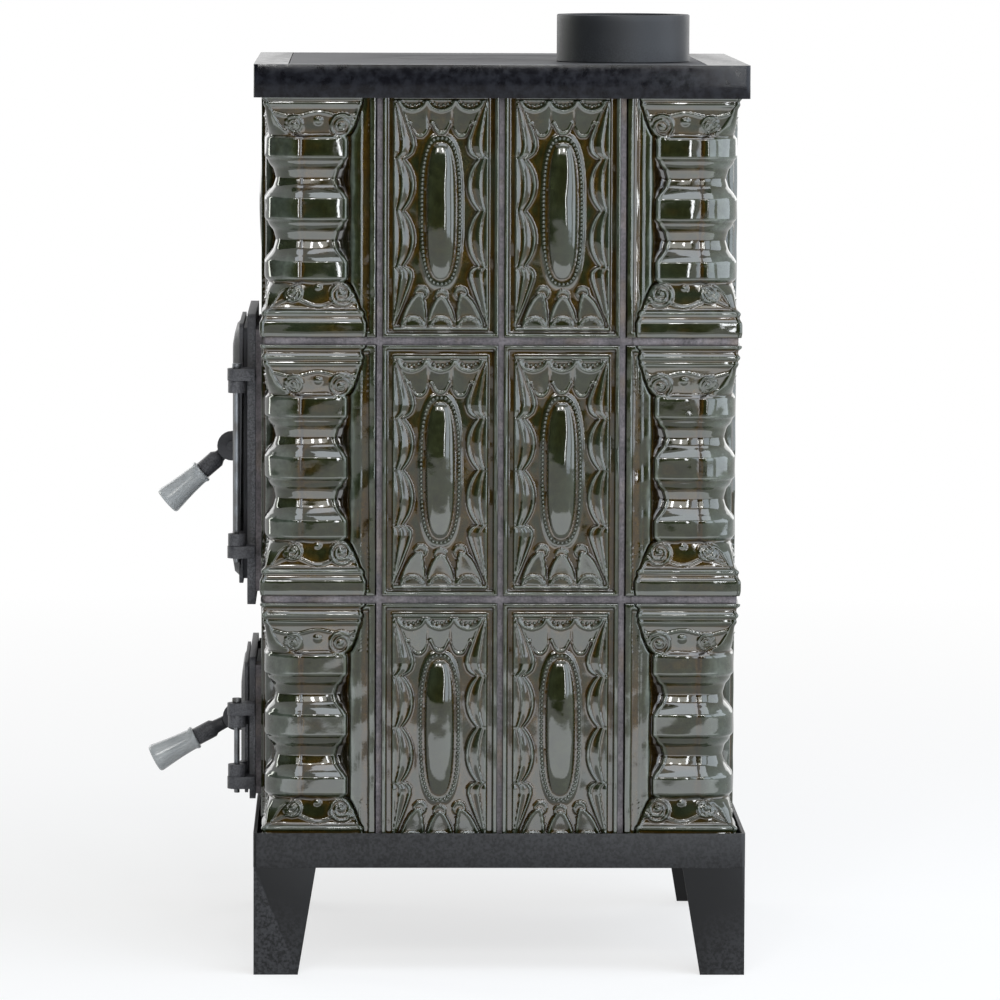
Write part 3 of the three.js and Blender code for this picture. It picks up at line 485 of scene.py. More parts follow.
# how far a point lies from the hem to the edge of the panel, as a share
def clothShare(u, v):
    k = sideCloth
    line = smoothed(hemLine(v), k["soften"])
    lean = np.gradient(line, axis=0) / (tileHeight / (u.shape[0] - 1))
    share = (np.abs(u) - line) / np.clip(halfTile["panelHalf"] - line, k["least"], None)
    return share / (1 + k["lean"] * lean ** 2)


def clothRelief(u, v):
    k = headCloth
    hem = np.full_like(u, k["hem"])
    for across, up in k["tips"]:
        share = np.abs(u - across) / k["tipHalf"]
        tip = up + k["tipRise"] * np.clip(share, 0, k["tipReach"]) ** k["tipPower"]
        hem = np.where(share < k["tipReach"], np.minimum(hem, tip), hem)
    inside = v - hem
    height = k["level"] - k["lean"] * (k["head"] - v) + ridge(inside - k["hemCrest"], k["hemHalf"])
    for fold in k["folds"]:
        groove = k["foldDeep"] * np.exp(-((u - fold) / k["foldHalf"]) ** 2)
        height -= groove * (1 - step(v, *k["foldEnds"]))
    return np.where((inside > 0) & (v > k["from"]), height, farBelow)


def fanRelief(u, v):
    k, cap = footFans, footFans["cap"]
    height = np.full_like(u, farBelow)
    for across, up, left, right in k["places"]:
        share = np.clip((v - k["foot"]) / (up - k["foot"]), 0, 1)
        spread = (1 - share) ** k["spread"]
        near = np.minimum(u - across - (left - across) * spread, across + (right - across) * spread - u)
        fan = k["level"] + k["lean"] * (v - k["foot"]) - k["fall"] * step(near, *k["fallEnds"])
        fan = fan + k["edgeHigh"] * ridge(near - k["edgeCrest"], k["edgeHalf"])
        height = np.where((near > 0) & (v < up) & (v > k["cut"]), np.maximum(height, fan), height)
        arc = np.hypot(u - across, v - up - cap["up"])
        arch = cap["level"] + cap["lean"] * (v - up) + cap["high"] * ridge(arc - cap["crest"], cap["half"])
        height = np.where((arc < cap["reach"]) & (v > up - cap["below"]), np.maximum(height, arch), height)
    return height


# the sunk ground with the bed of the bead ring and the oval boss
def bossRelief(u, v):
    power, beads, oval = halfTile["ovalPower"], halfTile["beads"], halfTile["oval"]
    fromMiddle = v - tileHeight / 2
    surface = np.full_like(u, halfTile["ground"])
    ring = superOval(u, fromMiddle, beads["half"] + beads["bed"], beads["tall"] + beads["bed"], power)
    surface += beads["bedHigh"] * step(ring, *beads["bedEdge"])
    away = superOval(u, fromMiddle, oval["half"], oval["tall"], power)
    dome = np.clip(1 - np.clip(away, 0, 1) ** oval["flat"], 0, 1) ** oval["round"]
    return np.where(away < 1, oval["foot"] + oval["rise"] * dome, surface)


def addSwags(surface, u, v):
    for across in swag["places"]:
        away = np.hypot(u - across, v - swag["centre"])
        bowl = step(away, *(swag["radius"] - inset for inset in swag["bowl"]))
        line = swag["high"] * ridge(away - swag["radius"] + swag["inset"], swag["half"])
        surface += (line - swag["deep"] * bowl) * (v < swag["top"])
        foot = np.hypot((u - across * rosette["pitch"]) / rosette["flat"], v - rosette["centre"])
        flower = rosette["level"] + ridge(foot - rosette["crest"], rosette["half"])
        surface = np.where(foot < rosette["radius"], flower, surface)
    return surface


def halfTileRelief(u, v, seed):
    k, line = halfTile, halfTile["endLine"]
    edge = np.minimum(tileWidth / 2 - np.abs(u), np.minimum(v, tileHeight - v))
    height = np.where(edge < k["rim"]["wide"], rimHeight(edge, k["rim"]), k["band"])
    surface = bossRelief(u, v)
    share = clothShare(u, v)
    lobe = np.interp(share, *np.array(sideCloth["profile"]).T)
    surface = np.maximum(surface, np.where(share > sideCloth["begins"], lobe, farBelow))
    surface = np.where(share < sideCloth["inner"], np.maximum(surface, clothRelief(u, v)), surface)
    surface = np.maximum(surface, fanRelief(u, v))
    surface = addSwags(surface, u, v)
    # a raised line closes the panel at both ends, and the panel stands in the sunk band
    endEdge = np.minimum(v - k["panelFoot"], k["panelHead"] - v)
    surface = np.where(endEdge < line["wide"], line["level"], surface)
    surface += line["high"] * ridge(endEdge - line["crest"], line["half"])
    shoulder = step(np.minimum(k["panelHalf"] - np.abs(u), endEdge), *k["shoulder"])
    height = smoothed(height * (1 - shoulder) + surface * shoulder, k["soften"])
    return height + clayWaves(np.random.default_rng(seed), u, v, (0.05, 0.25), (0.04, 0.2))


# across, up, radius and level of every bead: the ring round the boss, the swags and the rosettes
def beadPlaces():
    k = halfTile["beads"]
    turn = np.linspace(0, 2 * math.pi, 2000, endpoint=False)
    c, s = np.cos(turn), np.sin(turn)
    power = 2 / halfTile["ovalPower"]
    u = k["half"] * np.sign(c) * np.abs(c) ** power
    v = k["tall"] * np.sign(s) * np.abs(s) ** power
    run = np.concatenate([[0], np.cumsum(np.hypot(np.diff(u), np.diff(v)))])
    total = run[-1] + math.hypot(u[0] - u[-1], v[0] - v[-1])
    count = round(total / k["pitch"])
    at = np.arange(count) * total / count
    places = [(x, y + tileHeight / 2, k["radius"], k["level"])
              for x, y in zip(np.interp(at, run, u), np.interp(at, run, v))]
    for centre in swag["places"]:
        for across in swag["beads"]:
            up = swag["beadTop"] - swag["beadSag"] * (swag["beadSpan"] - across ** 2)
            places.append((centre + across, up, swag["beadRadius"], swag["beadLevel"]))
        foot = centre * rosette["pitch"]
        for across, up in rosette["beads"]:
            places.append((foot + across, up, rosette["beadRadius"], rosette["beadLevel"]))
    return places


# a small hemisphere on the tile: its points from the foot up, and its faces
def bead(x, y, radius, level, start):
    rings, sides = 2, 8
    points, faces = [], []
    for ring in range(rings):
        lift = ring / rings * math.pi / 2
        for side in range(sides):
            angle = 2 * math.pi * side / sides
            points.append([x + radius * math.cos(lift) * math.cos(angle),
                           -(field + level + radius * math.sin(lift)),
                           y + radius * math.cos(lift) * math.sin(angle)])
    points.append([x, -(field + level + radius), y])
    for ring in range(rings - 1):
        for side in range(sides):
            a, b = start + ring * sides + side, start + ring * sides + (side + 1) % sides
            faces.append([a, b, b + sides, a + sides])
    last = start + (rings - 1) * sides
    for side in range(sides):
        faces.append([last + side, last + (side + 1) % sides, last + sides])
    return points, faces


def facePoints(u, v, height):
    return np.stack([u, -(field + height), v], -1)


# a closed tile: the relief in front, straight sides and a flat back
def reliefTile(name, width, low, high, relief, stepMm, beaded=False):
    across, up = int(width / stepMm) + 1, int((high - low) / stepMm) + 1
    u, v = np.meshgrid(np.linspace(-width / 2, width / 2, across), np.linspace(low, high, up))
    height = relief(u, v)
    pool = smoothed(height, halfTile["poolReach"]) - height
    points = facePoints(u, v, height).reshape(-1, 3).tolist()
    faces = gridFaces(across, up)
    rim = rimOf(across, up)
    first = len(points)
    points += [[points[i][0], -tileBack, points[i][2]] for i in rim]
    depth = (pool.reshape(-1) / halfTile["poolDeep"]).tolist() + [0.0] * len(rim)
    faces += sideFaces(rim, first)
    faces.append([first + i for i in range(len(rim))])
    for place in beadPlaces() if beaded else []:
        more, moreFaces = bead(*place, len(points))
        points += more
        depth += [-0.5] * len(more)  # glaze runs off the beads
        faces += moreFaces
    return smoothMesh(name, points, faces, finish["glaze"], depth)


sideTurn = {"near": 0, "right": 1, "far": 2, "left": 3}
halfMeshes = [
    reliefTile(f"half_tile_{seed}", tileWidth, 0, tileHeight, lambda u, v: halfTileRelief(u, v, seed),
               halfTile["stepMm"], True)
    for seed in (3, 8)
]


def dressHalfTiles():
    count = 0
    for node in sorted(frame["nodes"]):
        if not node.startswith("tile_"):
            continue
        side = node.split("_")[1]
        turn = sideTurn[side] * math.pi / 2
        low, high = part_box(node)
        centre = (low + high) / 2 - middle
        along = centre.x * math.cos(turn) + centre.y * math.sin(turn)
        shift = Vector((along * math.cos(turn), along * math.sin(turn), 0)) / mm
        shift.z = low.z / mm
        mesh = halfMeshes[count % len(halfMeshes)]
        placePiece("glazed_" + node, mesh, "stove", [node], turn, shift)
        count += 1
    print("half tiles dressed:", count)


dressHalfTiles()


strip = {
    "stepMm": 1.2, "past": 2.65,  # the strip's ends run this far past the tiles' width
    "rim": {"wide": 3.4, "crest": 1.7, "half": 3.0, "fall": 1.6}, "field": -3.8, "soften": 0.6,
}


def stripRelief(low, high):
    def relief(u, v):
        edge = np.minimum(tileWidth + strip["past"] - np.abs(u), np.minimum(v - low, high - v))
        height = np.where(edge < strip["rim"]["wide"], rimHeight(edge, strip["rim"]), strip["field"])
        return smoothed(height, strip["soften"])
    return relief


def dressStripTiles():
    for node in ("strip_tile_below_ash_door", "strip_tile_between_doors"):
        low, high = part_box(node)
        width = (high.y - low.y) / mm
        z0, z1 = low.z / mm, high.z / mm
        mesh = reliefTile("glazed_" + node, width, z0, z1, stripRelief(z0, z1), strip["stepMm"])
        placePiece("glazed_" + node, mesh, "stove", [node], sideTurn["left"] * math.pi / 2)
    print("strip tiles dressed")


dressStripTiles()


# ---- Corner tiles ----

cornerTile = {
    "edge": field - tileWidth,  # where the tile begins, from the middle of the stove
    "stepMm": 0.9,
    "notch": 131.0, "notchDeep": 7.0, "blockNotch": 3.5,  # the notch beside the shaft and beside the blocks
    "notchFrom": (30, 40), "notchTo": (184, 194),
    "crown": 1.7, "crownReach": 16,  # how far a face is rounded, and from what half width
    "axis": 170.95, "shaftBend": 0.9, "smallBend": 4.0,
    "cheek": {
        "rim": {"wide": 5.6, "crest": 2.8, "half": 4.2, "fall": 1.3}, "field": -3.6, "within": (4.8, 6.2),
        "ground": -3.9, "sink": 0.5, "sinkEnds": (7, 12), "lineHigh": 1.2, "line": 13.0, "lineHalf": 0.9,
        "lineEnds": (6, 9),
    },
    # points along one level of the tile
    "cheekCount": 24, "notchCount": 7, "sideCount": 5, "turnCount": 4, "faceCount": 72, "bendCount": 16,
    "cheekEnd": 121, "innerCorner": 132.0, "backSpan": 80,
    # height, half size of the shaft, from foot to head
    "shaft": [
        (44, 31.0), (47, 33.0), (49.3, 35.2), (50.5, 36.6), (66, 36.6), (67.2, 35.4), (69.5, 34.2),
        (71, 32.6), (76, 29.0), (84, 26.8), (92, 29.0), (95.5, 32.0), (98, 33.4), (100.8, 34.2),
        (102.0, 36.6),
        (121.4, 36.6), (122.6, 35.4), (125, 34.2), (127, 32.6), (131, 29.0), (138, 26.8), (146, 29.0),
        (149.5, 32.0), (152, 33.4), (154.8, 34.2), (156.2, 36.6), (173.5, 36.6), (175, 35.2), (177, 33.0),
        (180, 31.5),
    ],
    # height, face of the block, its left edge, radius of its outer corner
    "foot": [(0, 210.4, 118.5, 3), (3.5, 211.2, 118, 3), (13, 211.2, 118, 3), (16, 209.2, 119.5, 3),
             (18.5, 208.6, 120.5, 3), (19.8, 210.0, 119.8, 3), (22.6, 209.6, 120.5, 4),
             (24.2, 206.6, 122.5, 5), (29, 205.6, 124.0, 7), (38, 204.6, 127.5, 12), (46, 203.4, 131.5, 22)],
    "head": [(176, 203.6, 131.5, 22), (184, 204.8, 127.5, 12), (193, 205.8, 124.5, 7), (200, 206.6, 122.5, 5),
             (202.4, 208.2, 121.5, 4), (205, 208.4, 121, 3), (206.2, 206.6, 122, 3), (207.6, 209.4, 120.6, 3),
             (210.8, 209.6, 120.4, 3), (212.2, 207.6, 121.5, 3), (216.2, 207.8, 121.5, 3),
             (217.4, 211.0, 118.5, 3), (220, 210.6, 118.5, 3)],
    # centre across and up, radius, and 1 or -1 for the hand
    "volutes": [(139.5, 37.5, 11.0, 1), (182.0, 38.5, 8.0, -1),
                (140.0, 184.0, 11.0, 1), (181.0, 185.0, 8.0, -1)],
    # centre across and up, width to height, radius, height
    "drops": [(160.2, 188.5, 1.2, 3.4, 1.6), (160.2, 43.5, 1.1, 3.0, 1.4)],
    # level, swing, height of the wavy lines
    "wavyLines": [(29.5, 3.4, 1.2), (194.0, -2.0, 1.1)],
    "waveFrom": 138, "wavePitch": 44, "waveHalf": 1.1,
    "ornamentZones": [(25, 49), (174, 200)],
    "waves": 0.7, "soften": 0.6, "poolCentre": 120, "poolReach": 4.0, "poolDeep": 2.0,
}
# pitch, line and eye are shares of the radius or of the pitch, and the heights are millimetres
scroll = {"pitch": 0.36, "line": 0.34, "eye": 0.3, "high": 2.0, "eyeHigh": 2.4, "discHigh": 0.3}


# the flat cheek of the tile: its rim, its sunk field and a fine raised line
def cornerRelief(across, z):
    k = cornerTile["cheek"]
    inFromEdge = across - cornerTile["edge"]
    edge = np.minimum(inFromEdge, np.minimum(z, tileHeight - z))
    height = np.where(edge < k["rim"]["wide"], rimHeight(edge, k["rim"]), k["field"])
    within = step(edge, *k["within"])
    ground = k["ground"] - k["sink"] * step(inFromEdge, *k["sinkEnds"])
    line = k["lineHigh"] * ridge(inFromEdge - k["line"], k["lineHalf"]) * step(edge, *k["lineEnds"])
    return height * (1 - within) + (ground + line) * within


def volute(y, z, centreY, centreZ, radius, hand):
    away = np.hypot(y - centreY, z - centreZ)
    upward = 1 if centreZ < tileHeight / 2 else -1
    angle = np.arctan2(z - centreZ, hand * (y - centreY)) * upward
    pitch = radius * scroll["pitch"]
    phase = (away - radius + pitch * (angle / (2 * math.pi) + 0.5)) / pitch
    gap = np.abs(phase - np.round(phase)) * pitch
    eye = radius * scroll["eye"]
    turns = ridge(gap, pitch * scroll["line"]) * (away < radius + 0.3) * (away > eye)
    disc = step(-away, -radius - 1.2, -radius + 0.6)
    return scroll["high"] * turns + scroll["eyeHigh"] * ridge(away, eye) + scroll["discHigh"] * disc


# scrolls, drops and wavy lines on the faces of the two blocks
def blockRelief(y, z):
    k = cornerTile
    lift = sum(volute(y, z, *place) for place in k["volutes"])
    for centreY, centreZ, flat, radius, high in k["drops"]:
        lift = lift + high * ridge(np.hypot((y - centreY) / flat, z - centreZ), radius)
    for level, swing, high in k["wavyLines"]:
        wave = level + swing * np.cos((y - k["waveFrom"]) / k["wavePitch"] * 2 * math.pi)
        lift = lift + high * ridge(z - wave, k["waveHalf"])
    foot, head = ((z > low) & (z < high) for low, high in k["ornamentZones"])
    return np.where(foot | head, lift, 0)


# at each level: the column's face, its left side, the radius of its outer corner, the depth of the notch
def cornerLevels(rows):
    k = cornerTile
    half = np.interp(rows, *np.array(k["shaft"]).T)
    lines = [k["axis"] + half, k["axis"] - half, half * k["shaftBend"]]
    for block in (k["foot"], k["head"]):
        block = np.array(block, float)
        inBlock = (rows >= block[0, 0]) & (rows <= block[-1, 0])
        lines = [np.where(inBlock, np.interp(rows, block[:, 0], block[:, i + 1]), line)
                 for i, line in enumerate(lines)]
    besideShaft = step(rows, *k["notchFrom"]) * (1 - step(rows, *k["notchTo"]))
    lines.append(k["notchDeep"] * besideShaft + k["blockNotch"] * (1 - besideShaft))
    kernel = np.array([1, 2, 1]) / 4
    for line in lines:
        line[1:-1] = np.convolve(line, kernel, "valid")
    return np.stack(lines, 1)


# one level seen from above: cheek, notch, side, small corner, face and round corner, and the same mirrored
def cornerPlan(z, face, left, bend, deep):
    k = cornerTile
    endOfCheek = min(k["notch"], left - 1.0)
    across = np.linspace(k["edge"], endOfCheek, k["cheekCount"])
    lift = cornerRelief(across, np.full_like(across, z))
    plan = [(field + h, a) for a, h in zip(across, lift)]
    start = field + lift[-1]
    floor = min(start, face) - deep
    for t in np.linspace(0, 1, k["notchCount"] + 2)[1:-1]:
        sink = math.sin(math.pi * min(1, t * 1.15) / 2) ** 0.6
        plan.append((start + (floor - start) * sink, endOfCheek + (left - endOfCheek) * t))
    small = min(k["smallBend"], bend)
    for t in np.linspace(0, 1, k["sideCount"] + 1)[:-1]:
        plan.append((floor + (face - small - floor) * t, left))
    for t in np.linspace(0, 1, k["turnCount"] + 1)[:-1]:
        angle = -math.pi / 2 + t * math.pi / 2
        plan.append((face - small + small * math.cos(angle), left + small + small * math.sin(angle)))
    flat = np.linspace(left + small, face - bend, k["faceCount"])
    centre = (flat[0] + flat[-1]) / 2
    reach = (flat[-1] - flat[0]) / 2
    crown = k["crown"] * min(1, reach / k["crownReach"])
    plan += [(face - crown * ((a - centre) / reach) ** 2, a) for a in flat]
    arc = []
    for t in np.linspace(0, 1, k["bendCount"] + 1)[1:-1]:
        angle = t * math.pi / 2
        arc.append((face - bend + bend * math.cos(angle), face - bend + bend * math.sin(angle)))
    return plan + arc + [(y, x) for x, y in reversed(plan)]


# where a point of the rim lies on the back: straight behind the cheeks, and slanted round the inner corner
def behindCorner(x, y):
    cheek, inner = cornerTile["cheekEnd"], cornerTile["innerCorner"]
    if min(x, y) < cheek:
        return (tileBack, y) if x > y else (x, tileBack)
    span = cornerTile["backSpan"]
    t = np.clip((y - x + span) / (2 * span), 0, 1)
    if t < 0.02 or t > 0.98:
        return tileBack + (cheek - tileBack) * t, cheek + (tileBack - cheek) * t
    if t < 0.5:
        return tileBack + (inner - tileBack) * 2 * t, cheek + (inner - cheek) * 2 * t
    past = 2 * t - 1
    return inner + (cheek - inner) * past, inner + (tileBack - inner) * past


def cornerMesh(name, seed):
    k = cornerTile
    rows = np.linspace(0, tileHeight, int(tileHeight / k["stepMm"]) + 1)
    grid = np.array([cornerPlan(z, *level) for z, level in zip(rows, cornerLevels(rows))])
    count = grid.shape[1]
    zs = np.repeat(rows[:, None], count, 1)
    oneFace = k["cheekCount"] + k["notchCount"] + k["sideCount"] + k["turnCount"]
    for start, faceAxis in ((oneFace, 0), (count - oneFace - k["faceCount"], 1)):
        part = slice(start, start + k["faceCount"])
        grid[:, part, faceAxis] += blockRelief(grid[:, part, 1 - faceAxis], zs[:, part])
    for axis in (0, 1):
        grid[:, :, axis] = smoothed(grid[:, :, axis], k["soften"])
    random = np.random.default_rng(seed)
    wave = clayWaves(random, grid[:, :, 0] - grid[:, :, 1], zs, (0.05, 0.2), (0.05, 0.2))
    grid += wave[:, :, None] * k["waves"]
    outward = np.hypot(grid[:, :, 0] - k["poolCentre"], grid[:, :, 1] - k["poolCentre"])
    pool = (smoothed(outward, k["poolReach"]) - outward) / k["poolDeep"]
    points = np.concatenate([grid, zs[:, :, None]], -1).reshape(-1, 3).tolist()
    rim = rimOf(count, len(rows))
    first = len(points)
    points += [[*behindCorner(x, y), z] for x, y, z in [points[i] for i in rim]]
    depth = pool.reshape(-1).tolist() + [0.0] * len(rim)
    faces = gridFaces(count, len(rows)) + sideFaces(rim, first)
    # the back is a run of quads between the lower and the upper outline
    lower = range(first, first + count)
    topLeft = first + count + len(rows) - 3
    upper = range(topLeft + count, topLeft, -1)
    faces += [[lower[i + 1], lower[i], upper[i], upper[i + 1]] for i in range(count - 1)]
    return smoothMesh(name, points, faces, finish["glaze"], depth)


cornerMeshes = [cornerMesh(f"corner_tile_{seed}", seed) for seed in (5, 11)]


cornerTurns = {"far_right": 0, "far_left": 1, "near_left": 2, "near_right": 3}


def dressCornerTiles():
    count = 0
    for spot, turn in cornerTurns.items():
        for row in ("lower", "middle", "upper"):
            node = f"corner_tile_{spot}_{row}"
            shift = (0, 0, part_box(node)[0].z / mm)
            mesh = cornerMeshes[count % len(cornerMeshes)]
            placePiece("glazed_" + node, mesh, "stove", [node], turn * math.pi / 2, shift)
            count += 1
    print("corner tiles dressed:", count)


dressCornerTiles()


# ---- Iron, sheet and the rest of the frame's own nodes ----

slotOf = {row["node"]: row["material_slot"] for row in frame["record"]["subparts"]}

softened = {  # node: width of its worn edges in millimetres
    "base_frame": 1.0, "head_frame": 1.2, "hob_plate": 0.6, "fire_door": 1.0, "fire_door_frame": 1.0,
    "ash_door": 0.9, "ash_door_frame": 0.9, "fire_latch_lever": 0.8, "ash_latch_lever": 0.8, "grate": 0.8,
    "ash_pan": 0.3, "air_slide": 0.3, "fire_hinge_pin": 0.3, "ash_hinge_pin": 0.3, "hob_ring_outer": 0.4,
    "hob_ring_inner": 0.4, "hob_lid": 0.4, "firebox_lining": 1.5,
}


sharpFrom = math.radians(38)  # an edge that turns less than this is part of a curve


# the piece takes over a node's place and body, and the node is hidden
def standIn(piece, node):
    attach(piece, frame["nodes"][node]["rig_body"])
    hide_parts(node)


# a copy of a node's mesh with its flat faces made whole again and its edges rounded
def soften(node, width):
    mesh = frame["nodes"][node].data.copy()
    mesh.name = "softened_" + node
    mesh.materials.clear()
    work = bmesh.new()
    work.from_mesh(mesh)
    bmesh.ops.remove_doubles(work, verts=work.verts, dist=1e-6)
    bmesh.ops.dissolve_limit(work, angle_limit=math.radians(1), verts=work.verts, edges=work.edges)
    work.to_mesh(mesh)
    work.free()
    if mesh.attributes.get("custom_normal"):
        mesh.attributes.remove(mesh.attributes["custom_normal"])
    piece = addObject("softened_" + node, mesh)
    mesh.materials.append(finish[slotOf[node]])
    rounding = piece.modifiers.new("edges", "BEVEL")
    rounding.width = width * mm
    rounding.segments = 2
    rounding.limit_method = "ANGLE"
    rounding.angle_limit = sharpFrom
    rounding.harden_normals = False
    mesh.polygons.foreach_set("use_smooth", [True] * len(mesh.polygons))
    bpy.context.view_layer.update()
    evaluated = piece.evaluated_get(bpy.context.evaluated_depsgraph_get())
    baked = bpy.data.meshes.new_from_object(evaluated)
    piece.modifiers.clear()
    piece.data = baked
    baked.set_sharp_from_angle(angle=sharpFrom)
    standIn(piece, node)


# a closed profile of radius and height, turned round its axis
def turnedMesh(name, profile, sides, material, direction, start):
    direction = Vector(direction).normalized()
    aside = direction.orthogonal().normalized()
    across = direction.cross(aside)
    points, faces = [], []
    count = len(profile)
    for side in range(sides):
        turn = 2 * math.pi * side / sides
        outward = aside * math.cos(turn) + across * math.sin(turn)
        points += [tuple(Vector(start) + outward * r * mm + direction * h * mm) for r, h in profile]
        after = (side + 1) % sides
        for i in range(count):
            j = (i + 1) % count
            faces.append((side * count + i, after * count + i, after * count + j, side * count + j))
    mesh = bpy.data.meshes.new(name)
    mesh.from_pydata(points, [], faces)
    work = bmesh.new()
    work.from_mesh(mesh)
    bmesh.ops.remove_doubles(work, verts=work.verts, dist=1e-7)
    bmesh.ops.dissolve_degenerate(work, edges=work.edges, dist=1e-7)
    bmesh.ops.recalc_face_normals(work, faces=work.faces)
    work.to_mesh(mesh)
    work.free()
    mesh.polygons.foreach_set("use_smooth", [True] * len(mesh.polygons))
    mesh.set_sharp_from_angle(angle=sharpFrom)
    mesh.materials.append(material)
    return mesh


collar = {"wall": 5.0, "neckWall": 2.2, "rim": 1.2, "round": 0.7, "chamfer": 0.4, "lap": 0.3, "sides": 96}


def turnCollar():
    k = collar
    low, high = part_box("flue_collar")
    outer = (high.x - low.x) / 2 / mm
    tall = (high.z - low.z) / mm
    seat = (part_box("head_frame")[1].z - low.z) / mm + k["lap"]
    inner = outer - k["wall"]
    profile = [
        (inner, 0), (inner + k["neckWall"], 0), (inner + k["neckWall"], seat), (outer - k["chamfer"], seat),
        (outer, seat + k["chamfer"]), (outer, tall - k["rim"] - 5), (outer, tall - k["rim"]),
        (outer - 0.3, tall - 0.4), (outer - k["rim"], tall), (inner + k["round"], tall),
        (inner, tall - k["round"]), (inner, tall - 6),
    ]
    start = ((low.x + high.x) / 2, (low.y + high.y) / 2, low.z)
    mesh = turnedMesh("flue_collar_turned", profile, k["sides"], finish["charcoal"], (0, 0, 1), start)
    standIn(addObject("turned_flue_collar", mesh), "flue_collar")


grip = {  # radius and distance from the rim beside the rod
    "profile": [(3.3, 0), (9.2, 0), (10.4, 0.5), (10.9, 1.5), (10.7, 2.8), (10.0, 4.2), (9.8, 6), (9.95, 10),
                (10.45, 18), (11.5, 28), (12.5, 36), (13.0, 40), (13.1, 41.6), (12.7, 42.9), (11.8, 43.7),
                (10.6, 44), (6, 43.6), (0, 43.4), (0, 36.4), (3.3, 36.4)],
    "sides": 56,
}


def turnGrip(node):
    thing = frame["nodes"][node]
    points = np.array([tuple(vertex.co) for vertex in thing.data.vertices])
    centre = points.mean(axis=0)
    axis = np.linalg.svd(points - centre, full_matrices=False)[2][0]
    axis *= -np.sign(axis[0])  # the grips point away from the doors
    start = centre + axis * ((points - centre) @ axis).min()
    mesh = turnedMesh(node + "_turned", grip["profile"], grip["sides"], finish["porcelain"], axis, start)
    standIn(addObject("turned_" + node, mesh), node)


turnCollar()
turnGrip("fire_latch_grip")
turnGrip("ash_latch_grip")
print("collar and grips turned")


# ---- Mortar between the corner tiles ----

cornerJoint = {"face": 3.4, "from": 4.5, "inner": 24, "round": 2.2, "stepMm": 1.6, "rowMm": 1.4,
               "rough": 0.45, "lap": 0.3, "bendCount": 5, "soften": 1.2, "sway": 1.4}


# one joint: a wiped band of mortar round the corner, in the plan of a tile of the far right corner
def cornerJointMesh(name, tall, seed):
    k = cornerJoint
    random = np.random.default_rng(seed)
    out = field - k["face"]
    begin = field - tileWidth + k["from"]
    inner = out - k["inner"]
    runs = [(out, y) for y in np.arange(begin, out - k["round"], k["stepMm"])]
    runs += [(out - k["round"] * (1 - math.cos(a)), out - k["round"] * (1 - math.sin(a)))
             for a in np.linspace(0, math.pi / 2, k["bendCount"])]
    runs += [(y, x) for x, y in reversed(runs[:-k["bendCount"]])]
    back = [(begin, inner), (inner, inner), (inner, begin)]
    levels = np.linspace(-k["lap"], tall + k["lap"], max(4, int(tall / k["rowMm"])))
    points, faces = [], []
    slow = smoothed(random.normal(0, 1, (len(levels), len(runs))), k["soften"]) * k["sway"]
    for row, z in enumerate(levels):
        for i, (x, y) in enumerate(runs):
            sink = k["rough"] * slow[row, i]
            # moved across the side it is on, and at the very corner across both
            points.append((x + sink * (x >= y), y + sink * (y >= x), z))
        points += [(x, y, z) for x, y in back]
    ring = len(runs) + len(back)
    for row in range(len(levels) - 1):
        for i in range(ring):
            a, b = row * ring + i, row * ring + (i + 1) % ring
            faces.append([a, b, b + ring, a + ring])
    faces.append(list(range(ring - 1, -1, -1)))
    faces.append([(len(levels) - 1) * ring + i for i in range(ring)])
    return smoothMesh(name, points, faces, finish["mortar"])


def fillCornerJoints():
    levels = {"lower": ("lower", "middle"), "upper": ("middle", "upper")}
    for level, (under, over) in levels.items():
        for spot, turn in cornerTurns.items():
            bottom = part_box(f"corner_tile_{spot}_{under}")[1].z / mm
            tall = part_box(f"corner_tile_{spot}_{over}")[0].z / mm - bottom
            mesh = cornerJointMesh(f"corner_joint_{spot}_{level}", tall, 20 + turn)
            placePiece(mesh.name, mesh, "stove", [], turn * math.pi / 2, (0, 0, bottom))
    print("corner joints filled")


fillCornerJoints()


for node, width in softened.items():
    soften(node, width)
for node, thing in frame["nodes"].items():
    material = finish[slotOf[node]]
    if thing.data.materials:
        thing.data.materials[0] = material
    else:
        thing.data.materials.append(material)
print("iron edges softened:", len(softened))


# ---- Camera, floor and light ----

def aimed(thing, target):
    thing.rotation_euler = (Vector(target) - thing.location).to_track_quat("-Z", "Y").to_euler()
    return thing


camera = {
    "place": (-124.5, -5990, 949), "target": (-0.7, -216.5, 420),
    "lens": 238.6, "sensor": 36, "rollDegrees": 0.22,
}


def setCamera():
    data = bpy.data.cameras.new("camera")
    data.lens = camera["lens"]
    data.sensor_width = camera["sensor"]
    data.clip_end = 200
    thing = addObject("camera", data)
    base = Vector((middle.x, middle.y, 0))
    thing.location = base + Vector(camera["place"]) * mm
    aimed(thing, base + Vector(camera["target"]) * mm)
    thing.rotation_euler.rotate_axis("Z", math.radians(camera["rollDegrees"]))
    bpy.context.scene.camera = thing


stage = {
    "floorReach": 90, "shadowShare": 0.3, "shadowNear": 0.9, "shadowFar": 3.0,  # metres
    "clothAway": 6.6, "clothFoot": 0.01, "clothHigh": 5.2,
    "clothSteps": 33, "clothFrom": -112, "clothTo": 16,  # the last two in degrees from the camera's side
    "paper": "#f4f4f4", "cloth": "#2a2b28", "room": 0.2,  # room is the light of the world on the stove
}


# what the camera, metal and glass look at directly
def lookedAt(tree):
    rays = addNode(tree, "LightPath").outputs
    either = arithmetic(tree, "MAXIMUM", rays["Is Glossy Ray"], rays["Is Transmission Ray"])
    return arithmetic(tree, "MAXIMUM", rays["Is Camera Ray"], either)


def stagePiece(name, points, faces, material):
    mesh = bpy.data.meshes.new(name)
    mesh.from_pydata(points, [], faces)
    mesh.materials.append(material)
    thing = addObject(name, mesh)
    return thing


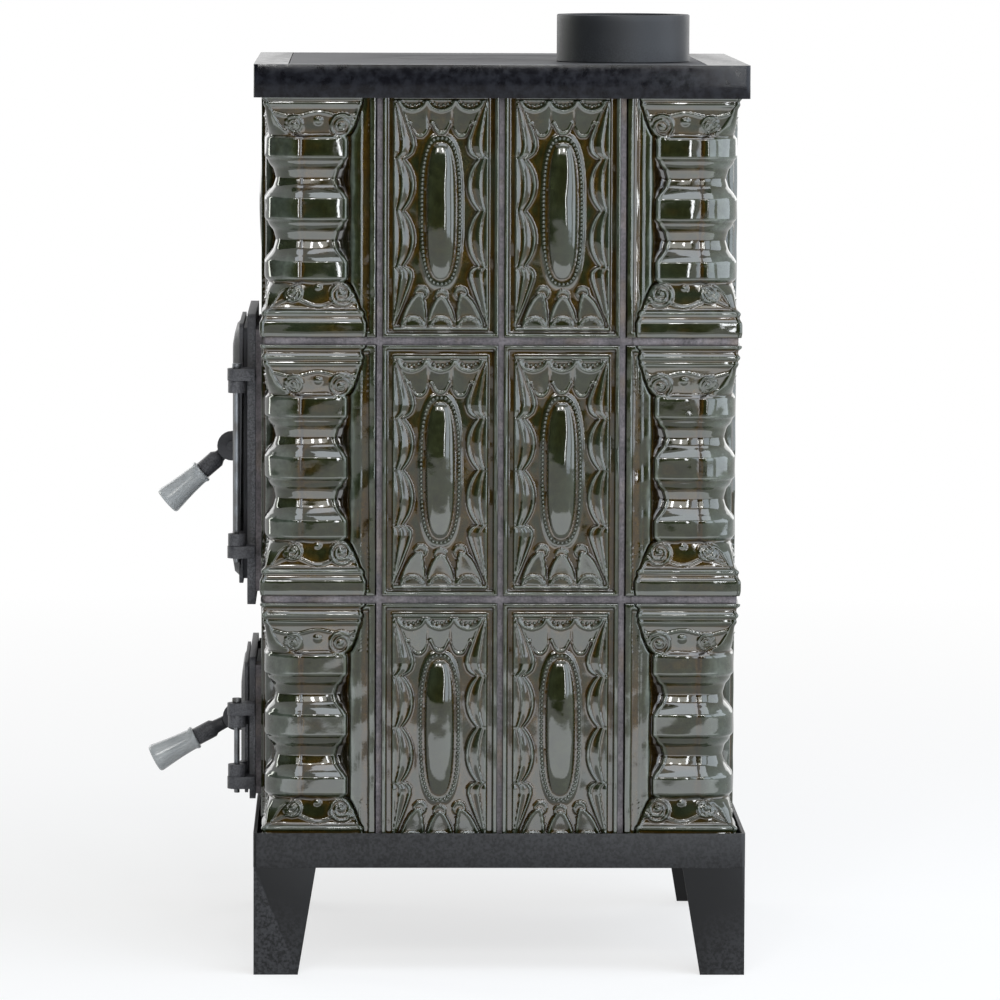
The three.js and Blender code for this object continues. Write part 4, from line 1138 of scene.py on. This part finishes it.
# white paper that still takes the stove's own shadow
def whiteFloor():
    material = bpy.data.materials.new("pale_floor")
    material.use_nodes = True
    tree = material.node_tree
    tree.nodes.clear()
    matt = addNode(tree, "BsdfDiffuse", {"Color": linear(stage["paper"])}).outputs["BSDF"]
    white = addNode(tree, "Emission", {"Color": (1, 1, 1, 1), "Strength": 1.0}).outputs["Emission"]
    away = addNode(tree, "VectorMath", {0: addNode(tree, "NewGeometry").outputs["Position"],
                                        1: (middle.x, middle.y, 0)}, operation="DISTANCE").outputs["Value"]
    share = remap(tree, away, stage["shadowNear"], stage["shadowFar"], 1 - stage["shadowShare"], 1.0)
    mixed = addNode(tree, "MixShader", {0: arithmetic(tree, "MULTIPLY", lookedAt(tree), share), 1: matt,
                                        2: white})
    output = addNode(tree, "OutputMaterial")
    tree.links.new(mixed.outputs[0], output.inputs["Surface"])
    reach = stage["floorReach"]
    corners = [(-reach, -reach, 0), (reach, -reach, 0), (reach, reach, 0), (-reach, reach, 0)]
    stagePiece("floor", corners, [(0, 1, 2, 3)], material)


# a black cloth round the camera's side, as a glazed piece is photographed
def blackCloth():
    material = bpy.data.materials.new("black_cloth")
    material.use_nodes = True
    shader = material.node_tree.nodes["Principled BSDF"]
    shader.inputs["Base Color"].default_value = linear(stage["cloth"])
    shader.inputs["Roughness"].default_value = 1.0
    points, faces = [], []
    turns = np.radians(np.linspace(stage["clothFrom"], stage["clothTo"], stage["clothSteps"]))
    for i, turn in enumerate(turns):
        x = middle.x + stage["clothAway"] * math.sin(turn)
        y = middle.y - stage["clothAway"] * math.cos(turn)
        points += [(x, y, stage["clothFoot"]), (x, y, stage["clothHigh"])]
        if i:
            faces.append((2 * i - 2, 2 * i, 2 * i + 1, 2 * i - 1))
    cloth = stagePiece("black_cloth", points, faces, material)
    cloth.visible_camera = False


def paleWorld(strength):
    world = bpy.data.worlds.new("pale_room")
    bpy.context.scene.world = world
    world.use_nodes = True
    tree = world.node_tree
    tree.nodes.clear()
    level = remap(tree, lookedAt(tree), 0, 1, strength, 1.0)
    background = addNode(tree, "Background", {"Color": (1, 1, 1, 1), "Strength": level})
    output = addNode(tree, "OutputWorld")
    tree.links.new(background.outputs[0], output.inputs["Surface"])


# metres; turn is in degrees from the camera's side, positive to the right; level is the brightness
softboxes = {
    "strip": {"turn": 14, "away": 4.0, "up": 1.3, "size": (0.14, 2.1), "level": 24, "tint": "#f4f7fa"},
    "sideNear": {"turn": 34, "away": 3.3, "up": 1.3, "size": (1.5, 2.3), "level": 4.6, "tint": "#c9d6e4"},
    "sideFar": {"turn": 76, "away": 3.0, "up": 1.3, "size": (2.6, 2.4), "level": 4.2, "tint": "#d6e0ec"},
    "over": {"turn": 20, "away": 1.5, "up": 2.9, "size": (2.2, 1.3), "level": 5.0, "tint": "#dfe7f0"},
    "front": {"turn": -6, "away": 5.2, "up": 3.1, "size": (3.6, 1.3), "level": 4.6, "tint": "#f0f0ea"},
    "edge": {"turn": -113, "away": 3.0, "up": 1.0, "size": (0.3, 2.0), "level": 9.0, "tint": "#f0f4ea"},
    "backLeft": {"turn": -146, "away": 3.4, "up": 1.5, "size": (1.6, 2.0), "level": 2.2, "tint": "#ffffff"},
    "backRight": {"turn": 146, "away": 3.4, "up": 1.5, "size": (1.6, 2.0), "level": 2.2, "tint": "#ffffff"},
    "windowLeft": {"turn": -11, "away": 3.6, "up": 2.2, "size": (0.2, 0.45), "level": 40, "tint": "#ffffff"},
    "windowRight": {"turn": 3, "away": 3.6, "up": 2.3, "size": (0.2, 0.45), "level": 40, "tint": "#ffffff"},
}
floorCard = {"place": (0.1, -1.15, 0.02), "size": (2.6, 1.1), "level": 2.5, "tint": "#e9eef2"}


def addLamp(name, where, target, box):
    lamp = bpy.data.lights.new(name, "AREA")
    lamp.shape = "RECTANGLE"
    lamp.size, lamp.size_y = box["size"]
    lamp.color = linear(box["tint"])[:3]
    lamp.energy = box["level"] * math.pi * box["size"][0] * box["size"][1]
    thing = addObject(name, lamp)
    base = Vector((middle.x, middle.y, 0))
    thing.location = base + Vector(where)
    aimed(thing, base + Vector(target))
    thing.visible_camera = False


def setLights():
    for name, box in softboxes.items():
        turn = math.radians(box["turn"])
        where = (box["away"] * math.sin(turn), -box["away"] * math.cos(turn), box["up"])
        addLamp(name, where, (0, 0, 0.45), box)
    x, y, z = floorCard["place"]
    addLamp("floorCard", (x, y, z), (x, y, z + 1), floorCard)


setCamera()
whiteFloor()
blackCloth()
paleWorld(stage["room"])
setLights()
bpy.context.scene.view_settings.view_transform = "Standard"
print("camera, floor and light set")

bpy.context.view_layer.update()
